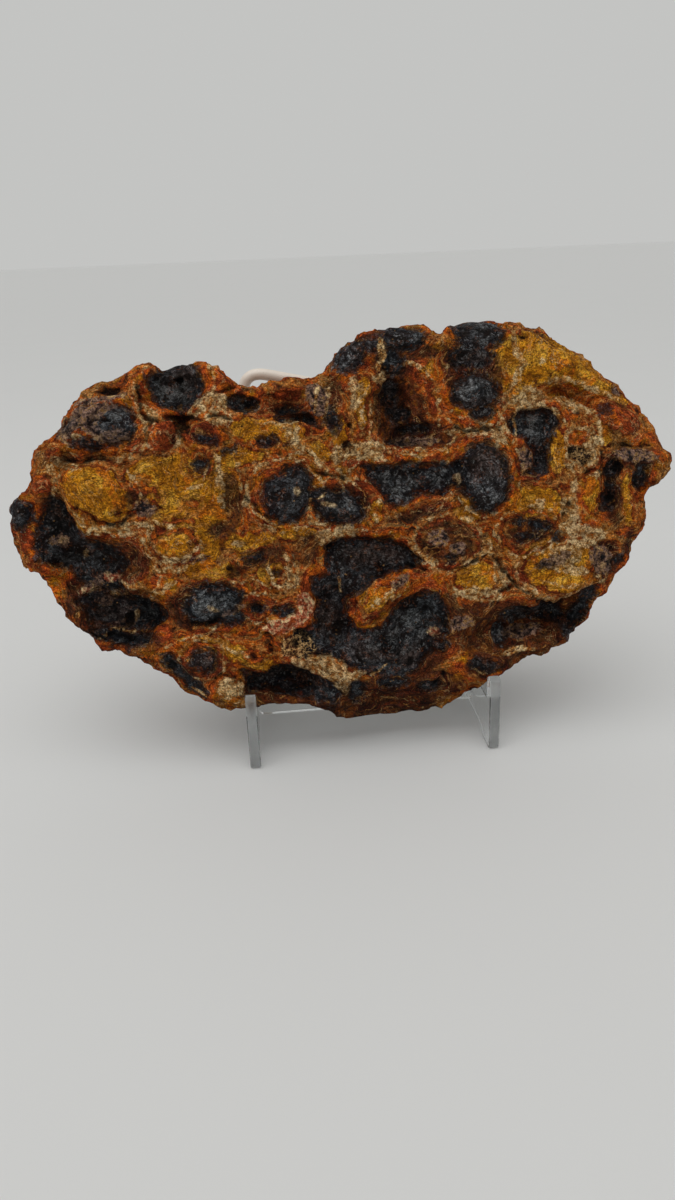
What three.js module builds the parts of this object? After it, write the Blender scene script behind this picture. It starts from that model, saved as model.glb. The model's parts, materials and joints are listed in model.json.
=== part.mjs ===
// A slab of botryoidal hematite leaning in a clear acrylic easel, with a coated wire rest behind it.
// Millimetres, +Z up. X runs along the easel's feet, Y from the feet to the back.
// The group's origin is the middle of its footprint, on the surface it stands on.
import * as THREE from "three";
import { mergeVertices } from "three/addons/utils/BufferGeometryUtils.js";
import { ImprovedNoise } from "three/addons/math/ImprovedNoise.js";

// ---------- driving dimensions ----------

const LEAN_DEG = 15; // the stone and what it leans on, from upright
const FACE_FOOT = { y: 4, z: 20 }; // where the plane of the stone's face starts
const SHELF_Z = 20;
const PLATE_THICK = 4;
const PLATE_X = 46; // middle of each side plate
const EASEL_DEPTH = 85;
const PLATE_TOP_Z = 98;
const LIP_TOP_Z = 30;
const LIP_DEPTH = 5;
const REST_Y = 27; // the leaning edge of a plate, at shelf height
const ARCH = 3; // clearance under the middle of a plate
const CHAMFER = 0.3;
const GAP = 0.3; // between the panel and each plate
const SEAT_GAP = 0.5; // between the stone and the shelf and lip
const PANEL_THICK = 3;
const PANEL_HEIGHT = 52;
const PANEL_BOTTOM_Z = 9.5;
const PANEL_SETBACK = 1;
const WIRE_DIAMETER = 4.5;
const STONE_THICK = 21.2; // where it leans on the plates
const STONE_DETAIL = 18; // subdivision of the sphere that the stone is shaped from

const LEAN = THREE.MathUtils.degToRad(LEAN_DEG);
const RIGHT_ANGLE = Math.PI / 2;

// ---------- the stone's form ----------
// The stone's own frame: x to the right, u up along its leaning face, v out of the face.

const STONE_CENTRE = [-3, 68];

// The edge of the face, anticlockwise from the right-hand point: [x, u].
const FACE_EDGE = [
  [118, 87], [116, 90], [112, 92], [111, 97], [109.5, 101.5], [106, 105.5], [102, 109],
  [101, 111.5], [98.5, 115], [95, 116.5], [90.5, 121], [87, 124], [82, 127.5], [76.5, 131],
  [73.5, 134], [70, 137], [65.5, 138], [60, 138], [54.5, 141], [46, 140.5], [39, 140],
  [35, 137], [31, 135.5], [27.5, 137], [24.5, 139.5], [20.5, 140.5], [14.5, 139], [7.5, 138.5],
  [0.5, 136.5], [-3, 134.5], [-6, 130], [-9.5, 125.5], [-13.5, 122], [-17, 121], [-20.5, 122],
  [-23.5, 123.5], [-27, 123], [-30, 121], [-34, 119.5], [-36.5, 121], [-40, 122], [-43.5, 121.5],
  [-47.5, 124.5], [-50, 128], [-54, 130.5], [-56.5, 131.5], [-60, 130.5], [-64.5, 128.5],
  [-69.5, 129], [-71.5, 131], [-75.5, 131], [-80, 127.5], [-88, 126], [-93, 125], [-94.5, 122.5],
  [-99.5, 120], [-103.5, 116], [-106, 111.5], [-110, 108.5], [-113.5, 105], [-117, 101],
  [-116, 98.5], [-117.5, 93.5], [-120, 90.5], [-120, 87], [-123, 85], [-126, 84.5],
  [-126.5, 80], [-126.5, 76.5], [-124.5, 73], [-126, 70], [-124.5, 66.5], [-123.5, 63],
  [-120, 61], [-115.5, 58.5], [-114.5, 51], [-110, 47.5], [-109, 43.5], [-107.5, 38.5],
  [-103, 36], [-103, 33.5], [-99.5, 32], [-95, 32.5], [-92, 30.5], [-89, 28], [-82.5, 26],
  [-77, 22], [-72.5, 16.5], [-69.5, 13], [-64.5, 9], [-60, 6.5], [-55.5, 5], [-52, 4],
  [-47.5, 4.5], [-43, 6.5], [-38.5, 6.5], [-31.5, 5], [-26.5, 5], [-22.5, 4], [-17, 1],
  [-11.5, -2], [-6, -3.5], [0, -2.5], [8.5, -3], [14.5, -3], [20, -2.5], [25, -1.5], [30.5, 0.5],
  [35.5, 5.5], [40.5, 5.5], [44.5, 8.5], [48.5, 10.5], [52.5, 13.5], [58, 16], [64.5, 15.5],
  [70.5, 17.5], [74, 20.5], [79, 25], [82.5, 29], [85.5, 33], [87, 36.5], [91, 39.5],
  [94.5, 43.5], [95.5, 47.5], [100, 50.5], [101, 55.5], [103.5, 59.5], [107, 61], [106.5, 68],
  [106, 73], [107.5, 76], [110, 78], [114, 79.5], [113, 82], [116, 84.5],
];

// The sides flare out behind the face, away from this point, to the stone's widest section.
const FLARE_CENTRE = [-35, 79];
const FLARE = 0.034;
const EDGE_ROUND = 1.6;
const CROWN = 2.5; // by which the middle of the face stands out
const RELIEF_STRENGTH = 1.4;
const BACK_INSET = 0.6; // of the flare, by which the back's edge lies inside the face's
const BACK_ROUND = 3.5;
const PLATE_MARGIN = 4; // beside a plate, where the stone is shaped to clear it

// Shares of the sphere that become the face, the broken side all round and the back.
const FACE_UNTIL = -0.1;
const SIDE_UNTIL = -0.46;

// Hollows (below 0) and lumps (above 0) of the face: x, u, half width, half height, turn, height, flat part.
const FACE_RELIEF = [
  // broken recesses at the left, under the ochre shelf
  [-111, 74, 9, 14, 0, -4.5, 0.4],
  [-101, 59, 17, 12, 0, -7, 0.5],
  [-91, 42, 19, 10, -8, -9, 0.5],
  [-33, 12, 18, 7.5, 0, -7, 0.4],
  [-47, 14, 6, 6, 0, -3, 0.3],
  [-70, 15, 8, 6, -40, -2.5, 0.3],
  // the big dark vug in the middle and the orange tongue in it
  [3, 58, 21, 9, -8, -4, 0.6],
  [-13, 38, 9, 15, 0, -4.5, 0.5],
  [15, 29, 17, 15, 0, -3.5, 0.5],
  [4, 41, 14, 6, 38, 5.5, 0.3],
  // the ledge at the lower right and the hollow under it
  [73, 41, 17, 5, 6, 3, 0.4],
  [70, 29, 21, 8, 12, -8, 0.4],
  [50, 24, 14, 9, 0, -4, 0.4],
  // the underside curves back
  [10, -3, 38, 14, 0, -7, 0],
  // hollows near the top
  [-66, 122, 12, 9, 0, -4.5, 0.4],
  [-64, 111, 5, 3.5, 0, -5, 0.3],
  [-77, 118, 2.5, 7, 12, -3, 0.2],
  [-88, 123.5, 5, 2.5, 0, -3, 0.2],
  [-41, 115.5, 6, 3.5, 0, -3.5, 0.3],
  [-21, 109, 8, 2.6, 0, -3.5, 0.3],
  [-26, 115, 12, 5, 0, -3, 0.3],
  [14, 110, 7.5, 13, 4, -5, 0.5],
  [21, 100, 13, 5.5, 0, -3, 0.4],
  [81, 113, 12, 4, -22, -5.5, 0.3],
  [66, 104, 10, 5, 0, -2.5, 0.4],
  [68, 92, 4.5, 9, 0, -3, 0.4],
  [94, 76, 4, 14, -3, -3, 0.4],
  [107, 80, 4, 6, 0, -4, 0.3],
  [84, 89, 7, 7, 0, -1.5, 0.4],
  [18, 84, 17, 7, -4, -2, 0.6],
  [36, 84, 3, 8, 0, -2, 0.3],
  [-98, 99.5, 13, 1.8, 2, -3, 0.3],
  [102, 93, 10, 1.6, -2, -2.5, 0.3],
  // rounded growths
  [-92, 110, 15, 9, 12, 2.8, 0.3],
  [-71, 107, 5.5, 5.5, 0, 2, 0.3],
  [-55, 105, 9, 4, -3, 1.4, 0.3],
  [-95, 87, 14, 11, -25, 3.2, 0.5],
  [-115, 91, 5, 5, 0, 1.5, 0.3],
  [-68, 67, 8.5, 7, 0, 2.4, 0.4],
  [-57, 45, 13, 9, 12, 1.8, 0.5],
  [-62, 23, 6, 5, 0, 1.8, 0.4],
  [-54, 12, 7, 6, 0, 1.2, 0.3],
  [-29, 81, 10, 11, 0, 2.2, 0.5],
  [-9, 77, 9.5, 6.5, -10, 1.6, 0.4],
  [46, 84.5, 10, 14, 5, 2.6, 0.6],
  [43, 116, 8, 7, 0, 1.8, 0.4],
  [46, 134, 10, 8, 0, 1.4, 0.4],
  [18, 136, 8, 5, 0, 1.2, 0.3],
  [-2, 131, 7, 6, 40, 1.4, 0.3],
  [27, 118, 7, 12, 0, 1.6, 0.4],
  [31, 61, 11, 9, 0, 2, 0.4],
  [75, 50, 12, 8, 0, 1.4, 0.4],
  [98, 103, 10, 6, -20, 1.6, 0.3],
  [108, 88.5, 10, 4, -5, 1.8, 0.3],
  [72, 125, 13, 8, -30, 1.6, 0.4],
  [-12, 15, 9, 5, -30, 1.6, 0.3],
  [-30, 35, 11, 4, 0, 1.6, 0.3],
  [56, 92, 3, 10, 5, 1, 0.3],
];

// Low domes on the back, in the same terms.
const BACK_RELIEF = [
  [-84, 92, 24, 18, 15, 3.5, 0.3],
  [-88, 58, 16, 14, 0, -4, 0.3],
  [-60, 112, 16, 11, 0, 3, 0.2],
  [-10, 102, 19, 14, 0, 3, 0.3],
  [30, 120, 20, 13, -10, 2.5, 0.3],
  [78, 96, 20, 19, 0, 3.5, 0.3],
  [84, 60, 14, 15, 0, 1.5, 0.3],
  [66, 34, 13, 9, 20, -3, 0.3],
  [0, 44, 22, 20, 0, -3, 0.4],
  [-28, 74, 9, 9, 0, -2, 0.3],
  [24, 82, 12, 9, 0, -2.5, 0.3],
];

// ---------- small helpers ----------

function bare(geometry) {
  geometry.deleteAttribute("normal");
  geometry.deleteAttribute("uv");
  return geometry;
}

const mix = (a, b, t) => a + (b - a) * t;

function smoothstep(from, to, value) {
  const t = THREE.MathUtils.clamp((value - from) / (to - from), 0, 1);
  return t * t * (3 - 2 * t);
}

function relief(list, x, u) {
  let height = 0;
  for (const [cx, cu, halfWidth, halfHeight, turn, peak, flat] of list) {
    const a = THREE.MathUtils.degToRad(turn);
    const dx = x - cx;
    const du = u - cu;
    const along = (dx * Math.cos(a) + du * Math.sin(a)) / halfWidth;
    const across = (du * Math.cos(a) - dx * Math.sin(a)) / halfHeight;
    const reach = Math.hypot(along, across);
    height += peak * (1 - smoothstep(flat, 1.15, reach));
  }
  return height;
}

const noise = new ImprovedNoise();

// Noise in three octaves, about -1 to 1, with features of the given size.
function rough(x, y, z, size) {
  let sum = 0;
  let strength = 0.6;
  let scale = 1 / size;
  for (let octave = 0; octave < 3; octave++) {
    sum += strength * noise.noise(x * scale, y * scale, z * scale + 7 * octave);
    strength *= 0.5;
    scale *= 2.1;
  }
  return sum;
}

// Points of a closed outline by their share of its length, 0 to 1 anticlockwise from the right.
function outlineWalk(points) {
  const lengths = [0];
  points.forEach((p, i) => {
    const q = points[(i + 1) % points.length];
    lengths.push(lengths[i] + Math.hypot(q[0] - p[0], q[1] - p[1]));
  });
  const whole = lengths.at(-1);
  return (share) => {
    const wanted = (share - Math.floor(share)) * whole;
    let i = lengths.findIndex((length) => length > wanted) - 1;
    if (i < 0) i = points.length - 1;
    const p = points[i];
    const q = points[(i + 1) % points.length];
    const t = (wanted - lengths[i]) / (lengths[i + 1] - lengths[i]);
    return [mix(p[0], q[0], t), mix(p[1], q[1], t)];
  };
}

// ---------- the stone ----------

const edgeAt = outlineWalk(FACE_EDGE);

function faceHeight(x, u, reach) {
  const crown = CROWN * (1 - reach ** 4);
  return crown + RELIEF_STRENGTH * relief(FACE_RELIEF, x, u) + 1.1 * rough(x, u, 3, 9);
}

// How deep the back lies: flat where it leans on the plates, fuller above them, thin at both ends.
function backDepth(x, u) {
  const aboveEasel = smoothstep(78, 118, u);
  const beside = smoothstep(54, 70, Math.abs(x));
  const thinEnds = 5 * smoothstep(88, 122, Math.abs(x + 4));
  const free = Math.max(aboveEasel, beside);
  const domes = relief(BACK_RELIEF, x, u);
  const grain = 1.1 * rough(x, u, 40, 11);
  const loose = STONE_THICK + 1.5 + 2.5 * aboveEasel - thinEnds + domes + grain;
  const leaning = STONE_THICK - 0.4 + Math.min(0, domes + grain);
  return mix(leaning, loose, free);
}

// Keeps the stone clear of the plates: above the shelf, behind the lip, before the leaning edge.
function clearOfPlates(point) {
  const fromPlate = Math.abs(Math.abs(point.x) - PLATE_X) - PLATE_THICK / 2;
  const spare = Math.max(0, fromPlate - PLATE_MARGIN);
  const y = FACE_FOOT.y + point.y * Math.sin(LEAN) - point.z * Math.cos(LEAN);
  const z = FACE_FOOT.z + point.y * Math.cos(LEAN) + point.z * Math.sin(LEAN);
  const lowest = SHELF_Z + SEAT_GAP - spare;
  const foremost = LIP_DEPTH + SEAT_GAP - spare;
  if (z < lowest) point.y += (lowest - z) / Math.cos(LEAN);
  if (z < LIP_TOP_Z + 1 && y < foremost) point.z -= (foremost - y) / Math.cos(LEAN);
}

function stonePoint(direction) {
  const share = Math.atan2(direction.y, direction.x) / (2 * Math.PI);
  const [edgeX, edgeU] = edgeAt(share);
  const inward = Math.hypot(edgeX - STONE_CENTRE[0], edgeU - STONE_CENTRE[1]);
  const faceShare = 1 - EDGE_ROUND / inward;
  const c = direction.z;
  if (c >= FACE_UNTIL) {
    const reach = Math.sqrt((1 - c) / (1 - FACE_UNTIL));
    return {
      part: "face",
      reach,
      x: mix(STONE_CENTRE[0], edgeX, faceShare * reach),
      u: mix(STONE_CENTRE[1], edgeU, faceShare * reach),
    };
  }
  if (c > SIDE_UNTIL) {
    const down = (FACE_UNTIL - c) / (FACE_UNTIL - SIDE_UNTIL);
    const flare = FLARE * smoothstep(0, 0.4, down) * (1 - (1 + BACK_INSET) * smoothstep(0.55, 1, down));
    const rounding = EDGE_ROUND * (1 - smoothstep(0, 0.25, down));
    return {
      part: "side",
      down,
      x: edgeX + flare * (edgeX - FLARE_CENTRE[0]) - (rounding * (edgeX - STONE_CENTRE[0])) / inward,
      u: edgeU + flare * (edgeU - FLARE_CENTRE[1]) - (rounding * (edgeU - STONE_CENTRE[1])) / inward,
    };
  }
  const reach = Math.sqrt((1 + c) / (1 + SIDE_UNTIL));
  const flare = -BACK_INSET * FLARE;
  const x = edgeX + flare * (edgeX - FLARE_CENTRE[0]);
  const u = edgeU + flare * (edgeU - FLARE_CENTRE[1]);
  return {
    part: "back",
    reach,
    x: mix(STONE_CENTRE[0], x, reach),
    u: mix(STONE_CENTRE[1], u, reach),
  };
}

// Evens out the points of the face and the back by moving each to the middle of its neighbours.
function relax(points, index, rounds) {
  const neighbours = points.map(() => new Set());
  for (let i = 0; i < index.length; i += 3) {
    const corners = [index[i], index[i + 1], index[i + 2]];
    for (const a of corners) for (const b of corners) if (a !== b) neighbours[a].add(b);
  }
  for (let round = 0; round < rounds; round++) {
    points.forEach((point, i) => {
      if (point.part === "side" || point.reach > 0.985) return;
      let x = 0;
      let u = 0;
      for (const n of neighbours[i]) {
        x += points[n].x;
        u += points[n].u;
      }
      point.x = x / neighbours[i].size;
      point.u = u / neighbours[i].size;
    });
  }
}

function stoneGeometry() {
  const geometry = mergeVertices(bare(new THREE.IcosahedronGeometry(1, STONE_DETAIL)));
  const position = geometry.getAttribute("position");
  const direction = new THREE.Vector3();
  const points = [];
  for (let i = 0; i < position.count; i++) {
    points.push(stonePoint(direction.fromBufferAttribute(position, i).normalize()));
  }
  relax(points, geometry.index.array, 30);
  points.forEach(({ part, reach, down, x, u }, i) => {
    const place = new THREE.Vector3(x, u, 0);
    const top = faceHeight(x, u, part === "face" ? reach : 1);
    const bottom = -backDepth(x, u);
    if (part === "face") place.z = top;
    else if (part === "back") place.z = mix(bottom, bottom + BACK_ROUND, smoothstep(0.82, 1, reach));
    else {
      place.z = mix(top, bottom + BACK_ROUND, down);
      const crag = 2.4 * rough(x, u, place.z + 90, 9) * Math.sin(Math.PI * Math.min(1, down * 1.4));
      const out = new THREE.Vector2(x - STONE_CENTRE[0], u - STONE_CENTRE[1]).setLength(crag);
      place.x += out.x;
      place.y += out.y;
    }
    clearOfPlates(place);
    position.setXYZ(i, place.x, place.y, place.z);
  });
  geometry.computeVertexNormals();
  return geometry;
}

// ---------- the easel ----------

// A side plate's outline in Y and Z: pads, arch, rear edge, leaning edge, shelf and lip.
function plateShape() {
  const round = 1.5;
  const rest = (z) => REST_Y + (z - SHELF_Z) * Math.tan(LEAN);
  const topWidth = 9;
  const shape = new THREE.Shape();
  shape.moveTo(round, 0);
  shape.lineTo(10, 0);
  shape.bezierCurveTo(13, 0, 14, ARCH, 19, ARCH);
  shape.lineTo(EASEL_DEPTH - 19, ARCH);
  shape.bezierCurveTo(EASEL_DEPTH - 14, ARCH, EASEL_DEPTH - 13, 0, EASEL_DEPTH - 10, 0);
  shape.lineTo(EASEL_DEPTH - round, 0);
  shape.absarc(EASEL_DEPTH - round, round, round, -RIGHT_ANGLE, 0);
  shape.lineTo(EASEL_DEPTH, 5);
  shape.bezierCurveTo(
    EASEL_DEPTH - 8, 30,
    rest(PLATE_TOP_Z) + topWidth + 3, 60,
    rest(PLATE_TOP_Z) + topWidth - 0.5, PLATE_TOP_Z - 5,
  );
  shape.quadraticCurveTo(
    rest(PLATE_TOP_Z) + topWidth - 1, PLATE_TOP_Z,
    rest(PLATE_TOP_Z) + topWidth / 2, PLATE_TOP_Z,
  );
  shape.quadraticCurveTo(
    rest(PLATE_TOP_Z) + 0.5, PLATE_TOP_Z,
    rest(PLATE_TOP_Z - 5), PLATE_TOP_Z - 5,
  );
  shape.lineTo(rest(SHELF_Z + 2), SHELF_Z + 2);
  shape.quadraticCurveTo(rest(SHELF_Z), SHELF_Z, rest(SHELF_Z) - 2, SHELF_Z);
  shape.lineTo(LIP_DEPTH + 1.5, SHELF_Z);
  shape.quadraticCurveTo(LIP_DEPTH, SHELF_Z, LIP_DEPTH, SHELF_Z + 1.5);
  shape.lineTo(LIP_DEPTH, LIP_TOP_Z - LIP_DEPTH / 2);
  shape.absarc(LIP_DEPTH / 2, LIP_TOP_Z - LIP_DEPTH / 2, LIP_DEPTH / 2, 0, Math.PI);
  shape.lineTo(0, round);
  shape.absarc(round, round, round, Math.PI, 1.5 * Math.PI);
  return shape;
}

// Extrudes a shape drawn in Y and Z along X, centred on X = 0.
function sheetAcross(shape, thick) {
  const geometry = new THREE.ExtrudeGeometry(shape, {
    depth: thick - 2 * CHAMFER,
    bevelEnabled: true,
    bevelThickness: CHAMFER,
    bevelSize: CHAMFER,
    bevelOffset: -CHAMFER,
    bevelSegments: 1,
    curveSegments: 4,
  });
  geometry.translate(0, 0, CHAMFER - thick / 2);
  const axes = new THREE.Matrix4().makeBasis(
    new THREE.Vector3(0, 1, 0),
    new THREE.Vector3(0, 0, 1),
    new THREE.Vector3(1, 0, 0),
  );
  return geometry.applyMatrix4(axes);
}

function panelGeometry() {
  const half = PLATE_X - PLATE_THICK / 2 - GAP;
  const corner = 2;
  const shape = new THREE.Shape();
  shape.moveTo(-half + corner, 0);
  shape.lineTo(half - corner, 0);
  shape.absarc(half - corner, corner, corner, -RIGHT_ANGLE, 0);
  shape.lineTo(half, PANEL_HEIGHT - corner);
  shape.absarc(half - corner, PANEL_HEIGHT - corner, corner, 0, RIGHT_ANGLE);
  shape.lineTo(-half + corner, PANEL_HEIGHT);
  shape.absarc(-half + corner, PANEL_HEIGHT - corner, corner, RIGHT_ANGLE, Math.PI);
  shape.lineTo(-half, corner);
  shape.absarc(-half + corner, corner, corner, Math.PI, 1.5 * Math.PI);
  const geometry = new THREE.ExtrudeGeometry(shape, {
    depth: PANEL_THICK - 2 * CHAMFER,
    bevelEnabled: true,
    bevelThickness: CHAMFER,
    bevelSize: CHAMFER,
    bevelOffset: -CHAMFER,
    bevelSegments: 1,
    curveSegments: 4,
  });
  return geometry.translate(0, 0, CHAMFER - PANEL_THICK);
}

// ---------- the wire rest ----------

// Joins points by straight lines with a curve of the given reach at each corner.
function bentLine(points, bend) {
  const path = new THREE.CurvePath();
  let start = points[0];
  for (let i = 1; i < points.length - 1; i++) {
    const corner = points[i];
    const reach = (towards) =>
      towards.clone().sub(corner).setLength(Math.min(bend, towards.distanceTo(corner) / 2)).add(corner);
    const from = reach(points[i - 1]);
    const to = reach(points[i + 1]);
    path.add(new THREE.LineCurve3(start, from));
    path.add(new THREE.QuadraticBezierCurve3(from, corner, to));
    start = to;
  }
  path.add(new THREE.LineCurve3(start, points.at(-1)));
  return path;
}

// One wire, its ends meeting in the middle of the rear bar: foot, upright, saddle bar, upright, foot.
const WIRE_BEND = 10;
const WIRE_HALF_WIDTH = 41;
const WIRE_Y = 66.5;
const WIRE_FOOT_Y = 122;
const WIRE_FOOT_Z = WIRE_DIAMETER / 2 + 0.05;
const WIRE_CORNER_Z = 140; // where the sloping halves of the top bar would meet the uprights
const WIRE_DIP_Z = 130.5;
const WIRE_ROUTE = [
  [-0.25, WIRE_FOOT_Y, WIRE_FOOT_Z],
  [-WIRE_HALF_WIDTH, WIRE_FOOT_Y, WIRE_FOOT_Z],
  [-WIRE_HALF_WIDTH, WIRE_Y, WIRE_FOOT_Z],
  [-WIRE_HALF_WIDTH, WIRE_Y, WIRE_CORNER_Z],
  [0, WIRE_Y, WIRE_DIP_Z],
  [WIRE_HALF_WIDTH, WIRE_Y, WIRE_CORNER_Z],
  [WIRE_HALF_WIDTH, WIRE_Y, WIRE_FOOT_Z],
  [WIRE_HALF_WIDTH, WIRE_FOOT_Y, WIRE_FOOT_Z],
  [0.25, WIRE_FOOT_Y, WIRE_FOOT_Z],
];

function wireGeometry() {
  const route = bentLine(WIRE_ROUTE.map((p) => new THREE.Vector3(...p)), WIRE_BEND);
  const section = new THREE.Shape().absarc(0, 0, WIRE_DIAMETER / 2, 0, 2 * Math.PI);
  return new THREE.ExtrudeGeometry(section, {
    extrudePath: route,
    steps: 84,
    curveSegments: 4,
    bevelEnabled: false,
  });
}

// ---------- the assembly ----------

function piece(name, geometry, finish) {
  const mesh = new THREE.Mesh(geometry, new THREE.MeshStandardMaterial(finish));
  mesh.name = name;
  return mesh;
}

const STONE_FINISH = { color: 0x6e4424, roughness: 0.7, metalness: 0.05 };
const ACRYLIC_FINISH = { color: 0xe8ecec, roughness: 0.06, metalness: 0, transparent: true, opacity: 0.3 };
const WIRE_FINISH = { color: 0xe9e0d2, roughness: 0.35, metalness: 0 };

const display = new THREE.Group();

const stone = piece("specimen", stoneGeometry(), STONE_FINISH);
stone.position.set(0, FACE_FOOT.y, FACE_FOOT.z);
stone.rotation.x = RIGHT_ANGLE - LEAN;
display.add(stone);

for (const [side, x] of [["left", -PLATE_X], ["right", PLATE_X]]) {
  const plate = piece(`easel_${side}_plate`, sheetAcross(plateShape(), PLATE_THICK), ACRYLIC_FINISH);
  plate.position.x = x;
  display.add(plate);
}

const panel = piece("easel_back_panel", panelGeometry(), ACRYLIC_FINISH);
panel.position.set(
  0,
  REST_Y + PANEL_SETBACK + (PANEL_BOTTOM_Z - SHELF_Z) * Math.tan(LEAN),
  PANEL_BOTTOM_Z,
);
panel.rotation.x = RIGHT_ANGLE - LEAN;
display.add(panel);

display.add(piece("wire_back_rest", wireGeometry(), WIRE_FINISH));

const footprint = new THREE.Box3().setFromObject(display, true);
const middle = footprint.getCenter(new THREE.Vector3());
display.position.set(-middle.x, -middle.y, -footprint.min.z);

export default display;
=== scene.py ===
"""A slab of botryoidal hematite that leans in a clear two-plate easel, with a bent wire rest behind.

The stone's own frame, in which its patches and hollows are given, has x to the right, u up along
its leaning face and v out of the face, in millimetres.
"""

import json
import math

import bpy
import numpy as np
from bpy.props import FloatProperty, FloatVectorProperty, IntProperty, PointerProperty
from mathutils import Matrix, Vector, noise

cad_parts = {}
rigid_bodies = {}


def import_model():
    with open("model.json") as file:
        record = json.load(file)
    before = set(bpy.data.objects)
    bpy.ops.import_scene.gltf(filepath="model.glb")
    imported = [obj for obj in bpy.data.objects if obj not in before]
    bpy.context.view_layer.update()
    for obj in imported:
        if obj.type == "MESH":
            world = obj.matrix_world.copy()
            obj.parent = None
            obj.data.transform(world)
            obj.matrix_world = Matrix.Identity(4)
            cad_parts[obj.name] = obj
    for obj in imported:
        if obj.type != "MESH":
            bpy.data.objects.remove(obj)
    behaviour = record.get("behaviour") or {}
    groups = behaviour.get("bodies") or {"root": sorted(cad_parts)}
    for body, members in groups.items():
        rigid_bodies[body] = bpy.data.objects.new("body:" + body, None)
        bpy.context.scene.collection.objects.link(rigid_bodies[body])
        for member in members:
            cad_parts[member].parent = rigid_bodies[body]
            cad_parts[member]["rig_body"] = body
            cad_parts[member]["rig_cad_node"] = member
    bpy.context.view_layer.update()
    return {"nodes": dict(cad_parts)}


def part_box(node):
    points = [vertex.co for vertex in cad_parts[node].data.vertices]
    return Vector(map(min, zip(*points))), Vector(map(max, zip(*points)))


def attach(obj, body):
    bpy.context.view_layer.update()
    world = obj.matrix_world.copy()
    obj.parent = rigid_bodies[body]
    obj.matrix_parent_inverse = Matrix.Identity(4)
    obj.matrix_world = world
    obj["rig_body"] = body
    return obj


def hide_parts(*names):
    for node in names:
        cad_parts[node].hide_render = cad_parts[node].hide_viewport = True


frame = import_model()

bl_info = {
    "name": "Botryoidal Hematite on an Easel",
    "version": (1, 0, 0),
    "blender": (4, 5, 0),
    "location": "View3D > Sidebar > Hematite",
    "description": "A banded hematite slab, its clear easel, the wire rest behind it and a studio",
    "category": "Object",
}

MM = 0.001

# ---------- the easel and the wire, in millimetres in the easel's own frame ----------
# It has x from halfway between the plates, y back from their front edges and z up from the table.

LEAN = math.radians(15)
FACE_FOOT_Y, FACE_FOOT_Z = 4.0, 20.0
PLATE_X, PLATE_THICK = 46.0, 4.0
SHELF_Z, LIP_TOP_Z, LIP_DEPTH = 20.0, 30.0, 5.0
REST_Y, PLATE_TOP_Z = 27.0, 98.0
WIRE_HALF_WIDTH, WIRE_Y, WIRE_FOOT_Y = 41.0, 66.5, 122.0
WIRE_FOOT_Z, WIRE_CORNER_Z, WIRE_DIP_Z = 2.3, 140.0, 130.5

# What the stone keeps clear of: the sheet, the ends of the plates' edges and the wire's middle line.
SHEET_GAP, EDGE_MARGIN, WIRE_GAP = 0.4, 1.6, 3.1
BOX_MARGIN = 0.02

left_plate_corner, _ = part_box("easel_left_plate")
SHIFT = (left_plate_corner.x / MM + PLATE_X + PLATE_THICK / 2, left_plate_corner.y / MM)


def stone_frame(points):
    """The x, u and v of points given in metres in the row's frame."""
    x = points[:, 0] / MM - SHIFT[0]
    y = points[:, 1] / MM - SHIFT[1] - FACE_FOOT_Y
    z = points[:, 2] / MM - FACE_FOOT_Z
    u = y * math.sin(LEAN) + z * math.cos(LEAN)
    v = z * math.sin(LEAN) - y * math.cos(LEAN)
    return x, u, v


def row_point(x, y, z):
    """A point of the easel's own frame, in millimetres, as a point of the row's frame in metres."""
    return ((x + SHIFT[0]) * MM, (y + SHIFT[1]) * MM, z * MM)


def srgb(red, green, blue):
    """A colour from 0 to 255 as the linear colour that the shaders use."""
    def linear(c):
        c /= 255
        return c / 12.92 if c <= 0.04045 else ((c + 0.055) / 1.055) ** 2.4

    return (linear(red), linear(green), linear(blue))


def swatch(name, description, red, green, blue):
    """A colour that a user can change."""
    return FloatVectorProperty(
        name=name, description=description, default=srgb(red, green, blue), subtype="COLOR", size=3)


# ---------- the patches of the stone ----------
# Spots are x, u, half width, half height and any turn in degrees. Outlines are x, u points, and a
# line is its x, u points and half its width.

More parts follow.
